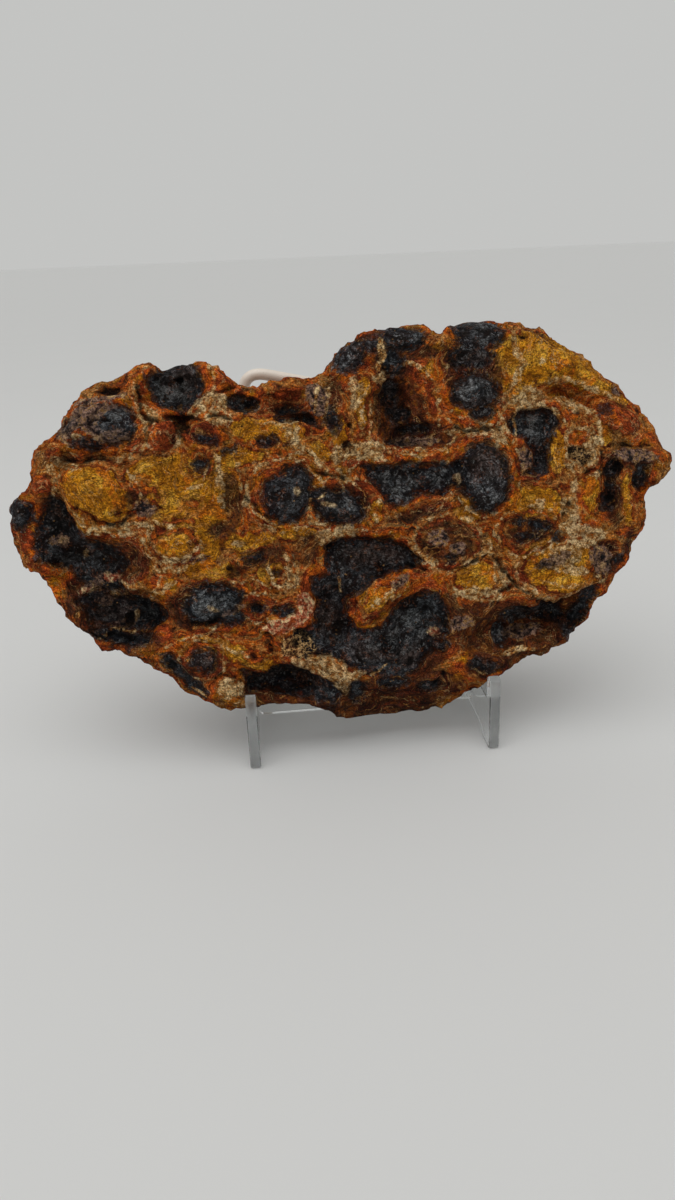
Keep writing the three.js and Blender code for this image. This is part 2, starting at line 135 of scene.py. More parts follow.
BLACK_SPOTS = [
    (-124, 81, 4.5, 5.5), (-57, 44, 11, 7.5, 10), (-62, 23, 5, 4), (-15, 7, 3.4, 4, -30),
    (-6, 6.5, 3, 4.4), (8, 9, 6, 2), (15, 16, 4, 3.4), (46, 84.5, 9.2, 13, 3), (36, 86, 4, 4.5),
    (-1, 131, 5, 7, -42), (7, 134.5, 4, 2.6), (18.5, 136.5, 8.5, 4.8), (14, 128, 4, 5, 20),
    (47, 136.5, 9.5, 6.5), (43, 128.5, 8, 4.4), (44, 115.5, 8.6, 7), (46, 107.5, 4.6, 2.6),
    (-41, 116, 5, 2.4, -8), (-22, 109.3, 7, 1.4, -6), (-25, 113, 3.4, 1.2, -10), (26, 22.5, 3.5, 2),
    (66, 65, 4, 2, -18), (61, 61, 4, 1.4), (58, 67, 1.6, 1.2), (107, 81, 2.6, 5, 12),
    (97, 49.5, 3.2, 1.5, 20), (6, 18, 9, 6), (22, 6, 4, 2.4), (94, 72.5, 2.4, 3.4), (96, 84, 2.2, 3.6),
    (95.4, 78, 1.5, 2.4, 10),
    (13, 117, 3.2, 4.6, 10), (16, 109.5, 4.4, 2.6, -20), (21, 103.5, 6, 1.5, -6), (15, 99, 4, 1.2),
    # The spots at (-90, 42) and (-93, 34), with the umber and plum there, are partly painted shade in the
    # low left corner under its overhang.
    (58, 31.5, 7, 3), (70, 31, 9, 3.6, -8), (78, 24, 2.4, 4, 30), (-90, 42, 15, 6, -8), (52, 24, 3, 4),
    (-93, 34, 11, 2.4, -10), (-102, 48, 5, 3), (-79, 41, 4, 3.4), (-58, 95, 3, 2.6), (-33, 102, 3.8, 1.5),
    (-47, 99, 2, 1, 20), (-41, 41.5, 1.8, 1.4),
    (-54, 48, 8, 3.4, -16), (-52, 39, 6, 3, -10), (-31, 39.5, 4, 1.5), (-88, 110, 8, 6, -10),
    (-33, 54, 1.1, 0.9), (-86, 113, 6, 5, -10), (-97, 104.5, 6, 2, -6),
    (-55, 104, 4, 1.8, -5), (-103, 112, 5, 1.8, 40), (93, 106, 2, 1.2), (73, 60, 1.8, 1.6),
    (68, 50, 2.6, 1.1), (32, 55, 2.4, 1.2), (-41, 60, 3.4, 1.6, 10), (-9, 108, 2, 5, 10),
    (80, 90, 1.6, 0.8), (86, 88, 1.8, 0.8, 20), (84, 92, 1.4, 0.6), (-30, 9, 8, 2.4, -8),
]
RIGHT_CORNER = [(77, 26), (80, 31), (83, 35), (86, 40), (90, 42), (89, 36), (86, 29), (82, 24)]
BOWL = [
    (-75, 127), (-74, 121), (-70, 116.5), (-62, 115), (-56, 118), (-54, 124), (-56, 130),
    (-60, 134), (-68, 132), (-72, 129),
]
# The black of the left recess is partly the nodules' colour and partly painted shade in the recess.
LEFT_RECESS = [
    (-112, 87), (-107, 83), (-104.5, 76), (-101, 70), (-94, 68), (-89, 66), (-87, 61), (-91, 57),
    (-90, 51), (-97, 50), (-103, 53), (-107, 56), (-109, 60), (-112, 61), (-119, 64), (-120, 70),
    (-117, 79),
]
BOTTOM_RECESS = [
    (-49, 18), (-45, 17), (-40, 15.5), (-35, 19), (-27, 18.5), (-22, 15), (-17, 12), (-13, 8),
    (-14, 2), (-20, 4), (-26, 9), (-32, 11), (-40, 10), (-47, 10),
]
LEFT_NODULE = [
    (-37, 83), (-35, 88), (-29, 89.5), (-25, 92), (-21, 92.5), (-18, 88), (-18, 84), (-20, 78),
    (-23, 73), (-29, 72), (-35, 76),
]
RIGHT_NODULE = [
    (-19, 84), (-12, 84), (-5, 82.5), (0, 78.5), (0, 73), (-5, 70), (-12, 70.5), (-17, 74), (-19, 79),
]
DIAMOND = [
    (0, 90.5), (8, 90), (20, 91), (30, 90.5), (36, 88), (36, 83), (30, 79), (22, 80), (15, 76.5),
    (11, 76), (8, 79), (6, 83), (3, 86),
]
HOOK = [
    (57, 104), (60, 107), (67, 108), (74, 107), (76, 103), (73, 99), (71, 96), (71.5, 89), (70, 84),
    (65, 82), (62, 84.5), (66, 88), (66.5, 93), (63, 97), (58, 99.5),
]
MIDDLE_VUG = [
    (-14, 62), (-10, 65), (0, 65), (8, 64), (14, 61), (22, 55), (18, 52), (15, 52), (5, 50),
    (-2, 46), (-7, 42), (-8, 36), (-5, 31), (5, 30), (9, 35), (13, 40), (20, 43), (26, 42),
    (29, 36), (30, 27), (25, 25), (23, 20), (18, 14), (10, 10), (0, 14), (-5, 15), (-10, 19),
    (-17, 22), (-24, 23), (-27, 27), (-28, 31), (-23, 32), (-20, 35), (-19, 41), (-20, 47),
    (-20, 51), (-14, 53),
]
BLACK_OUTLINES = [BOWL, LEFT_RECESS, BOTTOM_RECESS, LEFT_NODULE, RIGHT_NODULE, DIAMOND, HOOK, MIDDLE_VUG,
                  RIGHT_CORNER]
BLACK_LINES = [([(-75, 24), (-71, 17), (-64, 10)], 2.2), ([(47, 12), (40, 14)], 2.2)]

# Black that leans to purple brown.
PLUM_SPOTS = [
    (-8, 76, 11, 8, -6), (48, 90, 10, 8, 5), (45, 117, 11, 9), (97, 78, 6, 13, 3),
    (-111, 83, 5, 6, 10), (-100, 44, 12, 9), (-62, 23, 5, 4), (18, 103, 14, 8),
    (-60, 128, 6, 5), (-30, 12, 12, 5), (66, 105, 10, 4), (64, 27, 9, 6), (1, 132, 8, 5),
    (-15, 36, 5, 6), (5, 23, 12, 5), (45, 14, 7, 3), (43, 127, 8, 3), (2, 58, 14, 4),
    (20, 20, 10, 7), (-86, 62, 5, 6), (72, 24, 8, 5), (54, 22, 7, 4), (14, 108, 7, 12),
]
# Black that is worn to a blue grey.
WORN_SPOTS = [
    (14, 83, 11, 6), (45, 79, 6, 5), (30, 85, 5, 3), (10, 30, 14, 9), (44, 116, 7, 5),
    (47, 137, 7, 4), (-58, 45, 8, 5), (54, 27, 9, 6), (-86, 113, 5, 4), (66, 100, 5, 5),
    (18, 137, 6, 3), (-14, 56, 6, 5), (-7, 76, 6, 4), (-66, 122, 5, 4), (-42, 116, 8, 5),
    (66, 103, 9, 5), (-5, 131, 6, 5),
]
# Dark brown, which the relief also sinks a little: partly the stone's brown, partly painted shade in its
# hollows.
UMBER_SPOTS = [
    (23, 101, 14, 5.5, -6), (14, 126, 7, 6), (14, 112, 8, 12), (36, 85, 4, 8), (22, 131, 11, 3.4),
    (37, 28, 9, 9), (62, 25, 26, 11, 14), (31, 61, 10, 8), (-47, 82, 4, 10), (-24, 113, 7, 2.6, -8),
    (-32, 9, 18, 8, -4), (14, 6, 22, 9), (104, 88, 11, 4, -8), (-2, 3, 14, 5), (-102, 99.5, 11, 1.2, 2),
    (50, 14, 9, 4, 12), (-36, 60, 8, 3.4, 20), (96, 75, 3.4, 13, 2), (-104, 46, 8, 12, 10),
    (41, 12, 5, 5), (-94, 43, 18, 11, -8), (-88, 123.5, 5, 2.2), (102, 56, 3, 5), (91, 46, 6, 3, 30),
    (-90, 33, 14, 4, -12),
    (-46, 56, 6, 2, 20), (-104, 36, 7, 4), (62, 90, 4, 6), (-82, 84, 4, 2.5), (44, 122, 12, 9),
    (30, 33, 5, 9), (70, 136, 3, 1.5, -30), (63, 134.5, 1.2, 1.2), (12, 18, 17, 8),
    (20, 72, 12, 3, 10), (-52, 71, 5, 3), (34, 128, 3, 6), (-9, 117, 4, 6), (62, 63, 9, 5),
    (-68, 17, 8, 4, -45), (92, 51, 6, 7, 20), (99, 113, 3, 2.5), (-22, 62, 5, 6), (22, 30, 8, 12),
    (-87, 61, 4, 7), (-61, 44, 14, 9, 8), (-8, 78, 12, 8, -10), (66, 104, 11, 6), (17, 108, 9, 13),
    (-112, 80, 6, 8), (-41, 41.5, 3.4, 2.8),
]
SHELL = [
    (-101, 71.5), (-93, 71.5), (-85, 69), (-80.5, 64), (-79, 60), (-82, 56), (-88, 54.5), (-90, 57),
    (-86, 60), (-88, 65), (-93, 68), (-100, 69.5),
]
MAUVE_NODULE = [
    (-109, 108), (-106, 113), (-101, 117), (-94, 118.5), (-86, 118.5), (-80, 116), (-79, 112.5),
    (-84, 116.5), (-90, 116), (-93, 112), (-91, 109), (-83, 109), (-82, 105), (-92, 104.5),
    (-95, 107), (-100, 109.5), (-103, 107), (-106, 105),
]
LOWER_DARK = [
    (28, 41), (34, 38), (44, 38), (52, 37.5), (62, 36), (72, 33), (78, 37), (84, 41), (90, 43), (89, 34),
    (80, 22), (70, 14), (60, 12), (48, 14), (42, 20), (34, 21), (28, 28),
]
LOW_EDGE = [
    (-46, 12), (-34, 12), (-22, 12), (-12, 12), (0, 12), (12, 14), (24, 14), (29, 8), (26, -6), (10, -14),
    (-10, -14), (-30, -10), (-46, -4),
]
LEFT_OCHRE = [
    (-108, 91), (-106, 94.5), (-100, 96.5), (-94, 96), (-89, 94), (-86, 89), (-83, 85), (-82, 81),
    (-86, 77), (-91, 75), (-95, 76), (-99, 80), (-104, 84),
]
OCHRE_SPOTS = [
    (-70, 92, 15, 7.5), (-52, 88, 9, 8), (-62, 77, 15, 5, 4), (-58, 66, 5, 8), (-57, 56, 10, 4, -8),
    (-69.5, 66, 6.4, 5.4), (4, 42, 7, 2.6, 40), (74, 49, 14, 8, 10), (-50, 25, 15, 3.4, -28),
    (74, 92, 3.4, 9, 2), (-34, 56.5, 4, 2.6), (87, 76, 3, 7), (93, 98, 3, 6), (101, 72, 1.8, 10),
    (73, 130, 12, 6, -30), (86, 121, 11, 4.5, -38), (60, 121, 8, 9), (42, 47, 9, 6), (62, 74, 8, 6),
    (-33, 106, 14, 4.5, -8), (-7, 104, 3, 6), (-44, 97, 9, 3.4), (-14, 97, 5, 3, -40), (39, 73, 6, 5),
    (96, 113, 9, 3, -32), (5, 74, 3, 4), (3, 117, 3.4, 6), (-51, 6, 6, 2.5), (56, 129, 5, 8),
    (67, 57, 9, 3, 20), (78, 43, 12, 3.4, 6), (32, 132, 4, 2), (70, 72, 5, 7), (-57, 83, 4, 12),
    (-36, 54, 4, 5), (-42, 21, 9, 3, -20), (52, 122, 4, 6), (-25, 68, 8, 2.4), (-42, 66, 9, 3),
    (2, 112, 2.6, 8), (80, 124, 14, 6, -36), (64, 131, 7, 5), (-76, 88, 8, 6), (68, 122, 8, 5),
    (92, 118, 7, 4, -40), (-66, 84, 10, 5),
]
TONGUE = [
    (-8, 36), (-7, 41), (-2, 46), (5, 49), (13, 50), (18, 49), (15, 46), (11, 42), (7, 37),
    (5, 33), (0, 31), (-5, 32),
]
ORANGE_SPOTS = [
    (27, 118, 7, 12, 8), (0, 37, 6, 5, 20), (-77, 127, 3, 5, -20), (-50, 124, 4, 7, 35), (24, 48, 9, 4, -8),
    (-112, 56, 4.4, 5.4), (33, 10, 4, 8, -10), (-68, 77.5, 13, 2.4), (-50, 26, 16, 6, -28), (86, 70, 7, 6),
    (82, 113, 11, 3.4, -22), (102, 74, 2.2, 11), (28, 116, 6, 11, 8), (0, 36, 7, 5, 20), (63, 46, 5, 7, 30),
    (-74, 52, 9, 4, -24), (-66, 50, 8, 3, 10), (-98, 78, 4, 8, 40), (-84, 72, 9, 2.4, 4), (-69, 67, 8, 7),
    (86, 74, 6, 10), (83.5, 97.5, 3.4, 1.8),
    (80, 112, 9, 3, -22), (-42, 104, 8, 3), (63, 76, 9, 5), (42, 50, 8, 4), (-12, 92, 9, 3, -40),
    (20, 94, 15, 2, 4), (-40, 76, 4, 8, 20), (-32, 52, 3, 3), (-38, 45, 3, 8), (0, 124, 3, 5, -30),
    (-52, 28, 12, 5, -30), (105, 97, 4, 5), (-70, 78.5, 10, 2),
    (-47, 121, 5, 2, -10), (62, 80, 8, 6), (20, 96, 14, 2.2, 4), (-66, 114.5, 8, 1.6),
    (-103, 76, 2, 6, 15), (-112, 76, 1, 4), (30, 76, 8, 3, 8),
    (1, 104, 3, 4), (-34, 95, 7, 2), (-3, 84, 5, 2, -30), (-73, 45, 2, 6),
    (55, 70, 5, 5), (34, 110, 5, 3, -30), (-40, 118.5, 6, 1.5), (88, 66, 4, 3),
    (-30, 75, 1.5, 7, 30), (60, 96, 3, 2), (79, 62, 4, 4), (-62, 100.5, 12, 1.2),
    (82, 104, 3, 1.6), (-40, 47, 5, 3), (-44, 70, 6, 3, 20), (-88, 64, 3, 2.5),
    (-72, 30, 8, 2.4, 10), (40, 120, 3, 5), (5, 127, 2.5, 4), (-28, 24, 4, 3),
]
RED_SPOTS = [
    (-71, 107, 4.6, 4.6), (-76, 102.5, 8, 2.2), (-115, 91, 3.6, 3.8), (-80, 87, 4, 2.6),
    (-62, 81, 3, 1.8), (98, 103, 9.5, 4.5, -20), (80, 105, 3.6, 2.2, -15), (93, 54, 4.5, 3.5),
    (18, 5, 8, 3, 10), (57, 47, 5, 2, -40), (29, 52.5, 8, 1.2, -3), (-92, 71.5, 8, 1.2, -8),
    (-122, 72, 2.4, 5), (-55, 105, 8, 3.2, -4), (-82, 62, 2.2, 4), (-44, 23.5, 4, 2.4),
    (28, 74, 8, 2, 8), (65, 83, 8, 1.8), (8, -2, 14, 1.3), (-88, 79, 1, 1),
    (-120, 67, 2, 3), (-79, 118, 2, 4), (-68, 75, 6, 0.8), (-30, 42, 3, 2),
    (-2, 92, 5, 1.4, -6), (22, 126, 5, 2), (100, 60, 4, 2), (-76, 34, 4, 3),
    (-2, 122, 3, 5), (12, 7, 5, 2.5), (-110, 102, 3, 2), (50, 124, 3, 2),
    (-107, 50, 3, 1.5), (-95, 38, 5, 1, 5), (-24, 119, 5, 2), (2, 36, 2, 2),
]
# Rings are x, u, half width, half height, turn and half the width of their line.
RED_RINGS = [
    (-69.5, 66, 7.6, 6.6, 0, 0.6), (-71, 107, 5.2, 5, 0, 0.6), (31, 61, 11.5, 8.6, 0, 0.9),
    (-89, 62, 9.4, 8, 0, 0.8),
    (-57, 44, 14, 10, 10, 0.7), (-41, 41.5, 5.2, 4.6, 0, 1.0), (62, 63, 10, 7, 0, 0.7),
    (16, 108, 12, 16, 0, 0.8), (-78, 84, 4.6, 3.4, 0, 0.5), (-58, 95, 4.4, 4, 0, 0.6),
    (-30, 53, 4, 6, 0, 0.5), (-62, 23, 6.4, 5.6, 0, 0.6),
]
PALE_RINGS = [
    (-69.5, 66.5, 9.4, 8.2, 0, 0.3), (31, 61, 13.6, 10.4, 0, 0.5), (-71, 107, 6.8, 6.4, 0, 0.4),
    (-62, 23, 8.4, 7.2, 0, 0.3), (-41, 41.5, 7, 6.2, 0, 0.35),
    (62, 63, 12.4, 9.2, 0, 0.45), (16, 108, 14.4, 18.6, 0, 0.45), (-28, 82, 14.5, 13.6, 20, 0.5),
    (46, 88, 14, 17.4, 0, 0.35), (-96, 86, 15.5, 13.4, 8, 0.45), (44, 117, 13.6, 12, 0, 0.35),
    (-64, 124, 14, 12.6, 0, 0.4), (-90, 110, 16, 12, 8, 0.35), (-86, 59, 12, 12.6, 0, 0.6),
    (74, 49, 17, 10.6, 10, 0.4), (14, 84, 20, 11.6, 0, 0.35), (-7, 77, 14, 10.6, -6, 0.35),
]
PINK_SPOTS = [(-32, 34.5, 8, 3, 6), (-24, 37.5, 4, 1.8, 10), (-23, 42, 3.6, 3.4),
              (-94.5, 56, 3.5, 1.6, 10), (-105, 52, 2.4, 1), (25, 27, 2, 1.5)]
MAUVE_SPOTS = [
    (-92, 120, 10, 1.4, 8), (99, 113, 2, 1.6), (90, 50, 4, 6, 20), (105, 89, 9, 2.4, -8),
    (12, 47.5, 4, 1.2, 20), (-62, 60.5, 6, 1.2, 8), (-79, 80, 4, 2.6), (-14, 116, 4, 6, 20),
    (-103, 53, 3, 1.6, -20), (-96, 56, 4, 1.6, 20), (-112, 71, 3, 2.4), (-50, 41, 5, 1.4, 20),
    (72, 52, 6, 2, 20), (-92, 38, 5, 1.4, 10), (-98, 47, 3, 2), (35, 30, 5, 3), (61, 24, 8, 3, 6),
    (22, 99, 9, 2, -6), (62, 90, 3, 4), (27, 63, 3.6, 3), (34.5, 58.5, 3.4, 2.6),
]
CREAM_SPOTS = [
    (-92, 74, 10, 1.2, 4), (-106, 98, 6, 1.4, -20), (79, 66, 3, 9), (52, 99, 3, 4), (43, 101, 12, 1.4, -4),
    (2, 96, 7, 3, -10), (-24, 106, 3, 4, 20), (76, 52, 7, 4, 20), (88, 92, 4, 5), (62, 111, 8, 3, -10),
    (-54, 12, 4.6, 4.2), (-24, 104, 2.6, 3.2), (-56, 116, 7, 2.6, 36), (-50, 111, 5, 2.2),
    (-7, 96, 3.6, 3.4), (6, 97.5, 4, 2.4, -20), (9, 122, 2.6, 1.3, -10), (84, 90, 7, 4.5, -10),
    (50.5, 46, 2.2, 4, 15), (86, 61, 7, 2.2, -10), (77, 69, 2.4, 6), (64, 114.5, 7, 2, -20),
    (82, 109, 5, 1.8, -24), (-14, 66, 5, 2.4), (-7, 68, 4, 2),
    (70, 125, 1.1, 0.8), (-46, 66, 2, 0.9, 20), (-28, 59, 1.8, 1), (-93, 107, 2, 1.2),
    (-101, 107, 1.6, 1.4), (-23.5, 83.5, 1.1, 1.6), (-12.5, 77.6, 3, 0.7, -4), (36, 84, 0.9, 2),
    (-111, 71, 1.8, 1.6), (-103, 65, 1.4, 1), (-28, 52, 2.6, 4.5), (74, 55, 5, 2, 20),
    (80, 47, 5, 2, -10), (66, 72, 2, 2), (-51, 88, 1, 9, 2), (7, 44, 6, 1, 38),
    (-69, 61, 5, 1.2, 10), (48, 102, 7, 1.4), (-57, 42, 2, 0.8, -30), (-87, 41, 1, 2), (90, 83, 3, 1, 20),
    (-49, 5.5, 4, 1.6), (84, 57, 5, 1.5), (42, 41, 9, 1.6, -6), (-49, 117, 2.4, 4, 10), (0, 117, 2, 6),
]
CREAM_PATCH = [
    (-24, 23), (-17, 22), (-10, 19), (-8, 15), (-2, 14), (-8, 10), (-9, 4), (-12, 8), (-18, 13),
    (-22, 17), (-29, 19), (-30, 22),
]
FLECK_SPOTS = [(-27, 26.5, 6.5, 5, -10), (83, 90.5, 6, 3, -10)]  # mixed flecks of black, grey and white
CREAM_LINES = [
    ([(-37, 109), (-30, 108), (-25, 106), (-22, 100), (-18, 97), (-12, 89), (-5, 86)], 0.7),
    ([(-45, 98), (-44, 92), (-44, 84), (-41, 80), (-38, 76), (-32, 72)], 0.6),
    ([(-104, 80), (-100, 75), (-88, 73), (-80, 75), (-70, 74)], 0.9),
    ([(-82, 71), (-78, 64), (-76.5, 58), (-70, 57), (-64, 59), (-60, 62)], 0.5),
    ([(-89, 54), (-83, 51), (-76, 50), (-70, 53)], 0.7),
    ([(10, 136), (11, 130), (9, 125)], 0.9), ([(17, 63), (20, 59), (26, 53)], 1.1),
    ([(36, 52), (44, 57), (48, 56), (50, 52), (55, 45), (58, 42), (62, 40)], 0.9),
    ([(49, 56), (49, 47), (51, 42), (55, 42)], 0.8), ([(47, 58), (46, 60)], 0.9),
    ([(75, 111.5), (82, 110), (88, 106), (91.5, 98), (90, 90), (85, 85), (80, 84.5), (77.5, 89),
      (78, 99)], 1.1),
    ([(78, 99.5), (83, 101), (88, 99)], 0.8), ([(57, 96), (60, 102), (58, 108)], 0.5),
    ([(60, 43), (66, 38), (72, 36.5), (78, 38.5), (84, 41), (91, 42)], 0.9),
    ([(60, 137), (59.5, 130), (63, 125), (59, 118), (56, 114)], 1.2),
    ([(73, 118), (80, 119), (85, 117), (92, 113), (98, 110)], 1.0),
    ([(57, 110), (64, 109.5), (72, 109), (77, 105), (80, 101)], 0.7),
    ([(80, 88), (80, 78), (78, 70), (75, 62)], 1.6), ([(-10, 51), (-10, 45)], 0.4),
    ([(-77, 29), (-70, 31), (-60, 33), (-57, 36)], 0.35), ([(-61, 37), (-53, 27), (-45, 23)], 0.35),
    ([(-50, 52), (-40, 51), (-36, 49)], 0.4), ([(8, 41), (12, 44), (15, 46)], 0.4),
    ([(-78, 118), (-77, 112), (-76, 106), (-78, 101)], 0.8), ([(-110, 92), (-112, 97)], 1.2),
    ([(-36, 57), (-34, 50), (-30, 47), (-27, 50), (-26, 57), (-30, 61)], 0.5),
    ([(-19, 80), (-20, 75), (-18, 71), (-12, 70)], 0.5), ([(55, 101), (53, 107), (54, 110)], 0.8),
    ([(30, 108), (36, 103), (40, 101)], 0.5), ([(-68, 13), (-62, 9)], 0.4), ([(0, 13), (6, 16)], 0.4),
    ([(-29, 60), (-25, 57), (-26, 52)], 0.5), ([(-17, 80), (-13, 82)], 0.4), ([(50, 16), (62, 18)], 0.5),
    ([(-9, 90), (-3, 86), (0, 82)], 0.5), ([(-101, 34), (-94, 36.5), (-88, 36)], 0.4),
    ([(33, 44), (38, 40), (45, 38), (52, 38.5)], 0.5), ([(36, 42), (44, 40.5), (50, 41)], 0.4),
    ([(-79, 126), (-79.5, 118), (-77, 110)], 0.5), ([(-76, 67), (-72, 60), (-65, 60), (-61, 66)], 0.4),
    ([(62, 52), (68, 56), (76, 58)], 0.4), ([(66, 44), (74, 41.5), (83, 42)], 0.5),
    ([(-15, 112), (-14, 120)], 0.5), ([(-11, 111), (-10, 119)], 0.4),
    ([(52, 17), (57, 18.5), (63, 17.5)], 0.4),
    ([(-38, 94), (-30, 95), (-22, 97), (-14, 94)], 0.4), ([(10, 95), (22, 93.5), (34, 95)], 0.4),
    ([(5, 98), (4, 106), (5, 114)], 0.5), ([(-64, 86), (-57, 88), (-55, 94)], 0.4),
]
# Dark cracks and pits, which the relief also sinks as grooves; their near-black is partly painted shade in
# the grooves, and the lines along u 99 at the left and u 93 at the right are painted shadows under ledges.
CRACK_LINES = [
    ([(-77.5, 124.5), (-78, 118), (-76, 112.5), (-71, 112)], 0.6), ([(-68, 112), (-60, 112.5)], 1.1),
    ([(-64.5, 111), (-64, 105)], 0.7), ([(-53, 111), (-50, 112), (-46, 111)], 0.5),
    ([(-107, 99.6), (-98, 99), (-90, 98.6)], 0.5), ([(94, 93), (102, 93), (110, 92.4)], 0.5),
    ([(-93, 75), (-88, 75.2), (-81, 80)], 0.4), ([(-100, 80), (-96, 76.6), (-92, 75.2)], 0.35),
    ([(36, 51), (45, 56)], 0.3), ([(50, 54), (53, 48), (57, 43), (60, 40.5)], 0.5),
    ([(40, 101), (47, 102), (53, 101)], 0.4), ([(-43, 83), (-41, 80.5), (-34, 74)], 0.4),
    ([(-59, 16), (-56, 17.5), (-51, 16), (-49, 12)], 0.5), ([(50, 41), (54, 42.5)], 0.6),
    ([(-16, 90), (-11, 88.5), (-6, 87)], 0.35), ([(-99, 111), (-94, 113), (-88, 112)], 0.3),
    ([(61, 41), (67, 36), (73, 34), (79, 36)], 0.5), ([(-66, 37), (-58, 36), (-55, 39)], 0.7),
    ([(-104, 34.5), (-97, 34.5), (-88, 34)], 0.5), ([(36, 103), (40, 101)], 0.4),
    ([(92, 91), (92, 80), (91, 70)], 0.4), ([(24, 7), (28, 12)], 0.5), ([(85, 84), (90, 85)], 0.4),
    ([(-50, 120.5), (-44, 121.5)], 0.5), ([(16, 54), (22, 52)], 0.6), ([(-21, 29), (-27, 31)], 0.5),
    ([(-90, 78.5), (-83, 80)], 0.3), ([(48.5, 55), (52, 49), (56, 43.5)], 0.35),
    ([(-76.6, 104), (-76.4, 109), (-73.5, 112.2)], 0.3), ([(-66.6, 111), (-65.2, 107), (-67, 103)], 0.35),
    ([(-65, 112), (-62, 108)], 1.0),
]
PIT_SPOTS = [
    (-88, 123.5, 4, 1.6), (-103, 82, 1.2, 0.7), (-3, 105, 1.2, 1.4), (-4, 99, 1.5, 1.3),
    (43, 102, 0.8, 0.5), (48, 101, 1, 0.6), (52, 102, 0.9, 0.6), (78, 72, 0.9, 0.9),
    (76, 68, 0.8, 0.7), (79, 92, 1.5, 1.2), (86, 84, 1.4, 0.9), (90, 73, 0.8, 0.6),
    (-44, 23.5, 1.4, 1.1), (63, 134.5, 1, 0.9), (69, 136, 1.3, 0.6, -20), (83, 106, 0.8, 0.5),
    (-90, 40, 1.5, 2.5), (15, 17, 1.4, 1.4), (57, 64, 1.2, 0.8), (95, 73, 1.5, 1.5),
    (-50, 57, 1.2, 1), (89, 68, 1, 0.5), (62, 118, 0.5, 0.4), (-74, 22, 1.2, 2, -20),
    (-12, 62, 1, 0.8), (-28, 27, 1.2, 1.8), (-24, 29, 1, 1.2), (-37, 26, 0.9, 1.6),
    (98, 85, 1.6, 2), (-64, 126, 1.3, 0.7, -10), (-38, 31, 1.2, 0.7), (72, 96, 0.6, 1),
]

# Where the edge is bitten back: x, u, reach and depth.
EDGE_TRIMS = [
    (112, 98, 8, 3.2), (117, 90, 5, 2.4), (95, 120, 6, 2.6), (103, 109, 6, 2.6), (-114, 59, 6, 2.4),
    (90, 42, 6, 1.4), (73, 135, 6, 1.8), (113, 81, 4, 2.0), (-108, 44, 4, 1.2), (-101, 35, 3, 1.4),
    (-120, 92, 4, 1.2), (-86, 125, 3, 0.8), (64, 15, 4, 1.0), (80, 25, 3, 1.2), (-66, 10, 3, 1.0),
    (107, 69, 7, 2.2), (-110, 112, 8, 1.6),
]

# The back and the far side of the edge, in the same terms.
BACK = {
    "black": [(-84, 92, 20, 14, 15), (-60, 112, 13, 8), (-10, 102, 15, 10), (30, 121, 16, 9, -10),
              (78, 96, 15, 15), (84, 60, 9, 11), (-30, 60, 9, 6, 10), (18, 70, 8, 6),
              (-96, 58, 7, 8), (40, 44, 10, 7, 20), (-64, 36, 9, 6, -15), (4, 22, 9, 5),
              (58, 124, 6, 5), (-112, 78, 4, 6), (-40, 92, 4, 3), (52, 78, 4, 6)],
    "plum": [(-84, 92, 12, 8, 15), (78, 96, 9, 9), (-30, 60, 8, 5, 10), (40, 44, 8, 6, 20)],
    "worn": [(-60, 112, 8, 5), (-10, 102, 9, 6), (84, 60, 6, 7), (4, 22, 6, 3), (32, 122, 8, 5)],
    "umber": [(0, 44, 22, 16), (66, 34, 12, 8, 20), (-88, 58, 14, 12), (-20, 20, 20, 8)],
    "ochre": [(-48, 76, 12, 8, 20), (8, 86, 10, 5), (58, 100, 6, 12, 10), (-18, 42, 10, 6),
              (62, 58, 10, 7, -10), (-100, 104, 9, 4, 30), (96, 78, 5, 12), (-40, 122, 14, 3)],
    "orange": [(-66, 74, 8, 6), (30, 92, 10, 5), (0, 60, 14, 5, 10), (-84, 40, 10, 5, -20)],
    "red": [(-44, 104, 6, 4), (50, 112, 5, 4), (70, 76, 7, 4), (-74, 56, 6, 4), (26, 30, 9, 4)],
    "pink": [],
    "mauve": [(-104, 88, 7, 10), (96, 98, 6, 6)],
    "cream": [(-52, 90, 6, 2, 30), (14, 108, 3, 5), (44, 66, 5, 2, -20), (-8, 76, 7, 1.6), (-58, 52, 4, 2)],
    "thin": [(-70, 100, 9, 0.8, 20), (40, 84, 0.8, 9, 10), (84, 80, 8, 0.7, -30), (-30, 48, 10, 0.7, 10)],
    "ring": [],
    "fleck": [(24, 56, 6, 4)],
    "crack": [(-46, 84, 6, 0.7, 25), (20, 100, 0.7, 6), (60, 86, 6, 0.6, -15), (-8, 34, 8, 0.7, 5)],
}


FAR = 40.0  # farther from a patch, in millimetres, than anything asks about
KEPT_REACH = 12  # how far the distances that the stone keeps go
FRONT_FADE = (-20, -14)  # the depths v between which the back's patches give way to the front's
NO_ZERO = 1e-6


def nearness_to_spots(x, u, spots):
    """How far inside the nearest of some turned ellipses each point lies, and below 0 outside."""
    best = np.full(len(x), -FAR)
    for cx, cu, half_width, half_height, *turn in spots:
        angle = math.radians(turn[0]) if turn else 0
        c, s = math.cos(angle), math.sin(angle)
        along = ((x - cx) * c + (u - cu) * s) / half_width
        across = ((u - cu) * c - (x - cx) * s) / half_height
        reach = np.sqrt(along**2 + across**2) + NO_ZERO
        slope = np.sqrt((along / half_width) ** 2 + (across / half_height) ** 2) + NO_ZERO
        inside = np.minimum((1 - reach) * reach / slope, min(half_width, half_height))
        best = np.maximum(best, inside)
    return best


def distance_to_line(x, u, points):
    """How far each point is from a line of points."""
    best = np.full(len(x), np.inf)
    for (ax, au), (bx, bu) in zip(points, points[1:]):
        dx, du = bx - ax, bu - au
        t = np.clip(((x - ax) * dx + (u - au) * du) / (dx * dx + du * du), 0, 1)
        best = np.minimum(best, np.hypot(x - ax - t * dx, u - au - t * du))
    return best


